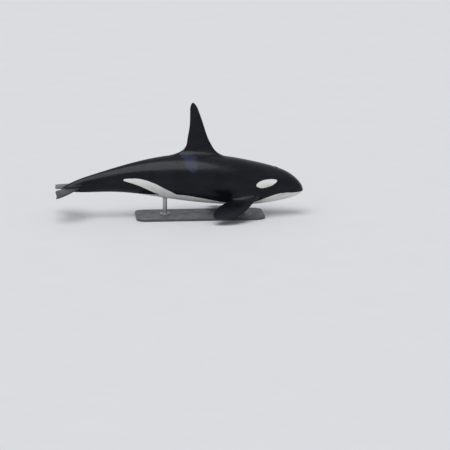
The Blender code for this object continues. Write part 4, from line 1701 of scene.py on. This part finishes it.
@dataclass
class Stand:
    """The plain stand: a painted base, two steel rods in bolted collars, and a rubber ring under the belly."""

    skin: BVHTree
    corner: float = 0.25
    edge: float = 0.007
    bolts: int = 6
    bolt_across: float = 0.024
    bolt_height: float = 0.013
    ring: float = 0.012

    def build(self) -> None:
        """Makes every piece in place of the frame's."""
        paint, steel, rubber = PaintFinish().make(), SteelFinish().make(), RubberFinish().make()
        self.own(self.base(), paint, "stand_plate", "stand_base")
        for end in ("front", "rear"):
            self.own(self.rod(end), steel, "stand_steel", "stand_rod_" + end)
            self.own(self.collar(end), steel, "stand_steel", "stand_collar_" + end)
            self.own(self.gasket(end), rubber, "stand_plate")

    def own(self, piece: bpy.types.Object, finish: bpy.types.Material, slot: str, *nodes: str) -> None:
        """Dresses a piece, hangs it on the root and hides the frame's nodes that it takes the place of."""
        piece.data.materials.append(finish)
        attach(piece, "root")
        if nodes:
            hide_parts(*nodes)

    def base(self) -> bpy.types.Object:
        """The slab, with rounded corners and edges."""
        low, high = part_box("stand_base")
        turns = np.linspace(0, math.tau, 96, endpoint=False) + math.tau / 192
        corner = np.stack([np.cos(turns), np.sin(turns)], -1)
        middle = np.array([(low.x + high.x) / 2, (low.y + high.y) / 2])
        half = np.array([(high.x - low.x) / 2, (high.y - low.y) / 2]) - self.corner
        rings = []
        for step in np.linspace(0, math.pi / 2, 6):
            rings.append((self.edge * (1 - math.sin(step)), low.z + self.edge * (1 - math.cos(step))))
        rings.insert(0, (self.edge * 2, low.z))
        rings += [(inset, low.z + high.z - height) for inset, height in reversed(rings)]
        loops = []
        for inset, height in rings:
            flat = middle + np.sign(corner) * half + corner * (self.corner - inset)
            loops.append(np.column_stack([flat, np.full(len(flat), height)]))
        return new_object("stand_slab", *stacked(np.array(loops)))

    def lathe(self, centre: tuple[float, float], profile: Iterable[tuple[float, float]], steps: int = 96) -> Array:
        """Loops round an upright axis.

        Args:
            centre: Where the axis stands.
            profile: Each loop's radius and height.
            steps: How many corners a loop has.

        Returns:
            The loops.
        """
        turns = np.linspace(0, math.tau, steps, endpoint=False)
        return np.array(
            [
                np.column_stack([centre[0] + r * np.cos(turns), centre[1] + r * np.sin(turns), np.full(steps, z)])
                for r, z in profile
            ]
        )

    def middle(self, node: str) -> tuple[tuple[float, float], float, float, float]:
        """Where a round node's axis stands, its radius and its lower and upper height."""
        low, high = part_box(node)
        return ((low.x + high.x) / 2, (low.y + high.y) / 2), (high.y - low.y) / 2, low.z, high.z

    def rod(self, end: str) -> bpy.types.Object:
        """A rod, up into the belly."""
        centre, radius, low, high = self.middle("stand_rod_" + end)
        loops = self.lathe(centre, ((radius, low), (radius, high)))
        return new_object("rod_" + end, *stacked(loops))

    def collar(self, end: str) -> bpy.types.Object:
        """A collar with its weld round the rod and its bolts."""
        centre, radius, low, high = self.middle("stand_collar_" + end)
        inner = self.middle("stand_rod_" + end)[1]
        profile = [(inner, low), (radius, low), (radius, high - 0.004), (radius - 0.0012, high - 0.0012)]
        profile += [(radius - 0.004, high), (inner + 0.012, high), (inner + 0.005, high + 0.003)]
        profile += [(inner + 0.001, high + 0.009), (inner, high + 0.012)]
        points, faces = stacked(self.lathe(centre, profile), closed=True)
        parts, joined = [points], list(faces)
        for number in range(self.bolts):
            turn = math.tau * (number + 0.5) / self.bolts
            reach = (radius + inner) / 2 + 0.002
            at = (centre[0] + reach * math.cos(turn), centre[1] + reach * math.sin(turn))
            for loops in (self.washer(at, high), self.bolt(at, high)):
                points, faces = stacked(loops)
                start = sum(len(part) for part in parts)
                parts.append(points)
                joined += [tuple(start + corner for corner in face) for face in faces]
        return new_object("collar_" + end, np.concatenate(parts), joined)

    def washer(self, at: tuple[float, float], height: float) -> Array:
        """The loops of a washer on the collar."""
        radius = self.bolt_across * 0.78
        return self.lathe(at, ((radius, height - 0.001), (radius, height + 0.002), (radius - 0.001, height + 0.003)), 40)

    def bolt(self, at: tuple[float, float], height: float) -> Array:
        """The loops of a hexagonal head, chamfered on top."""
        radius = self.bolt_across / math.sqrt(3)
        top = height + 0.003 + self.bolt_height
        profile = ((radius, height), (radius, top - 0.002), (radius * 0.9, top))
        return self.lathe(at, profile, 6)

    def gasket(self, end: str) -> bpy.types.Object:
        """A rubber ring pressed between the rod and the belly."""
        centre, radius, low, high = self.middle("stand_rod_" + end)
        loops = []
        for turn in np.linspace(0, math.tau, 72, endpoint=False):
            way = np.array([math.cos(turn), math.sin(turn), 0.0])
            foot = np.array([*centre, low]) + way * (radius + self.ring * 0.7)
            hit, *_ = self.skin.ray_cast(Vector(foot), Vector((0, 0, 1)))
            middle = np.array(hit) if hit else np.array([foot[0], foot[1], high])
            spin = np.linspace(0, math.tau, 16, endpoint=False)
            up = np.array([0, 0, 1.0])
            loops.append(middle + self.ring * (np.cos(spin)[:, None] * way + np.sin(spin)[:, None] * up))
        return new_object("gasket_" + end, *stacked(np.array(loops), closed=True))


@dataclass
class Eye:
    """One eyeball with a slightly bulging clear front."""

    socket: EyeSocket
    finish: bpy.types.Material
    bulge: float = 0.0012

    def build(self) -> bpy.types.Object:
        """Makes the ball where the frame has it, with its Z out of the head.

        Returns:
            The object.
        """
        name = self.socket.side.name.lower()
        mesh = bpy.data.meshes.new("eyeball_" + name)
        shape = bmesh.new()
        bmesh.ops.create_uvsphere(shape, u_segments=64, v_segments=48, radius=self.socket.radius)
        for vertex in shape.verts:
            away = math.hypot(vertex.co.x, vertex.co.y)
            if vertex.co.z > 0:
                vertex.co.z += self.bulge * math.exp(-((away / 0.011) ** 2))
        shape.to_mesh(mesh)
        shape.free()
        mesh.shade_smooth()
        mesh.materials.append(self.finish)
        ahead, up = self.socket.axes()
        made = bpy.data.objects.new("eyeball_" + name, mesh)
        bpy.context.scene.collection.objects.link(made)
        turn = Matrix([ahead, up * self.socket.side.value, self.socket.out]).transposed().to_4x4()
        if turn.determinant() < 0:
            turn = Matrix([ahead, -up * self.socket.side.value, self.socket.out]).transposed().to_4x4()
        made.matrix_world = Matrix.Translation(Vector(self.socket.ball)) @ turn
        return made


@dataclass
class Studio:
    """Floor, light and the camera at the photograph's angle."""

    body: Body
    dorsal: DorsalFin
    elevation: float = 12.0
    heading: float = 5.0
    distance: float = 60.0
    metres_a_pixel: float = 0.0255
    frame_pixels: int = 450
    tip_pixel: tuple[float, float] = (193.0, 102.8)
    sensor: float = 36.0

    def camera(self) -> None:
        """Sets the camera so that the fin's tip and the back lie where the photograph has them."""
        e, w = math.radians(self.elevation), math.radians(self.heading)
        back = np.array([-math.sin(w) * math.cos(e), -math.cos(w) * math.cos(e), math.sin(e)])
        right = np.array([math.cos(w), -math.sin(w), 0.0])
        up = np.cross(back, right)
        tip = self.dorsal.loop(self.dorsal.last_loop, np.array([0.0, math.pi])).mean(0)
        middle = self.frame_pixels / 2
        sideways = (middle - self.tip_pixel[0]) * self.metres_a_pixel
        down = (middle - self.tip_pixel[1]) * self.metres_a_pixel
        aim = tip + right * sideways - up * down
        data = bpy.data.cameras.new("camera")
        data.sensor_width = self.sensor
        data.lens = self.sensor * self.distance / (self.frame_pixels * self.metres_a_pixel)
        data.clip_end = 1000
        made = bpy.data.objects.new("camera", data)
        made.location = Vector(aim + back * self.distance)
        made.rotation_euler = Matrix([right, up, back]).transposed().to_euler()
        bpy.context.scene.collection.objects.link(made)
        bpy.context.scene.camera = made

    def floor(self) -> bpy.types.Object:
        """Makes the plain pale floor."""
        mesh = bpy.data.meshes.new("floor")
        shape = bmesh.new()
        bmesh.ops.create_grid(shape, x_segments=8, y_segments=8, size=300)
        shape.to_mesh(mesh)
        shape.free()
        n = Nodes("floor")
        n.link(n.mix(n.noise(0.8, 3), (0.62, 0.63, 0.64, 1), (0.66, 0.66, 0.67, 1)), n.shader.inputs["Base Color"])
        n.shader.inputs["Roughness"].default_value = 0.75
        mesh.materials.append(n.material)
        made = bpy.data.objects.new("floor", mesh)
        made.location.z = -0.001
        bpy.context.scene.collection.objects.link(made)
        return made

    def lights(self) -> None:
        """Sets a soft sky and a broad key light."""
        world = bpy.data.worlds.new("studio")
        world.use_nodes = True
        ground = world.node_tree.nodes["Background"]
        ground.inputs[0].default_value = (0.90, 0.93, 0.97, 1)
        ground.inputs[1].default_value = 0.62
        bpy.context.scene.world = world
        sun = bpy.data.lights.new("sun", "SUN")
        sun.energy = 1.9
        sun.angle = math.radians(50)
        made = bpy.data.objects.new("sun", sun)
        made.rotation_euler = Vector((0.28, 0.42, -1.0)).to_track_quat("-Z", "Y").to_euler()
        bpy.context.scene.collection.objects.link(made)
        bpy.context.scene.view_settings.view_transform = "Standard"


FLESH = (
    "head",
    "lower_jaw",
    "shoulders",
    "chest",
    "back",
    "belly",
    "tail_stock",
    "dorsal_fin",
    "flipper_left",
    "flipper_right",
    "fluke_left",
    "fluke_right",
)


def folds(body: Body) -> tuple[Fold, ...]:
    """The folds of the belly and of the mouth's corners.

    Args:
        body: The body that they lie on.

    Returns:
        The folds.
    """
    belly = (((0.600, -90), (0.618, -90), (0.636, -90)), ((0.661, -90), (0.665, -90), (0.669, -90)))
    navel = ((0.472, -90), (0.475, -90), (0.478, -90))
    corner = ((0.0935, -19.5), (0.0985, -24), (0.1015, -31), (0.1015, -38))
    cuts = [Fold(body, line) for line in belly]
    soft = Fold(body, corner, depth=0.0034, width=0.010, lip=0.0016, shade_strength=0.0, reaches=(0.045, 0.026))
    return (*cuts, Fold(body, navel, depth=0.006), soft)


def eye_socket(body: Body, side: Side) -> EyeSocket:
    """The socket round the frame's eyeball on one side.

    Args:
        body: The body, for the skin's direction there.
        side: The flank.

    Returns:
        The socket.
    """
    low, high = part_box("eye_" + side.name.lower())
    ball = np.array((low + high) / 2)
    share, height = 0.106, -0.0045 * body.length
    step = 0.002
    place = body.bent(share * body.length, body.side_of(share, height), height)
    rear = body.bent((share + step) * body.length, body.side_of(share + step, height), height) - place
    higher = body.bent(share * body.length, body.side_of(share, height + 0.01), height + 0.01) - place
    out = np.cross(rear, higher)
    out /= np.linalg.norm(out) * (1 if out[1] > 0 else -1)
    return EyeSocket(side, ball, (high - low)[2] / 2, out * np.array([1, side.value, 1]))


def main() -> None:
    """Builds the pieces in order and reports the skin's corners and faces."""
    logging.basicConfig(level=logging.INFO, format="%(message)s")
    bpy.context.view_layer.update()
    body = Body()
    dorsal = DorsalFin(body)
    body.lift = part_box("dorsal_fin")[1].z - float(dorsal.loop(dorsal.last_loop, np.zeros(1))[0, 2])
    sockets = tuple(eye_socket(body, side) for side in Side)
    mouth = Mouth(body)
    features = (mouth, *sockets, Blowhole(body), Dimple(body, 0.128, -0.008), *folds(body))
    skin = Skin(body, dorsal, (Flipper(body), Fluke(body)), mouth, features, Markings(body))
    piece = skin.build()
    piece.data.materials.append(SkinFinish().make())
    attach(piece, "root")
    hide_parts(*FLESH)
    LOG.info("skin: %d corners, %d faces", len(piece.data.vertices), len(piece.data.polygons))
    eye_finish = EyeFinish().make()
    for socket in sockets:
        ball = Eye(socket, eye_finish).build()
        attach(ball, "root")
        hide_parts("eye_" + socket.side.name.lower())
    graph = bpy.context.evaluated_depsgraph_get()
    Stand(BVHTree.FromObject(piece, graph)).build()
    studio = Studio(body, dorsal)
    studio.camera()
    studio.floor()
    studio.lights()


if __name__ == "__main__":
    main()
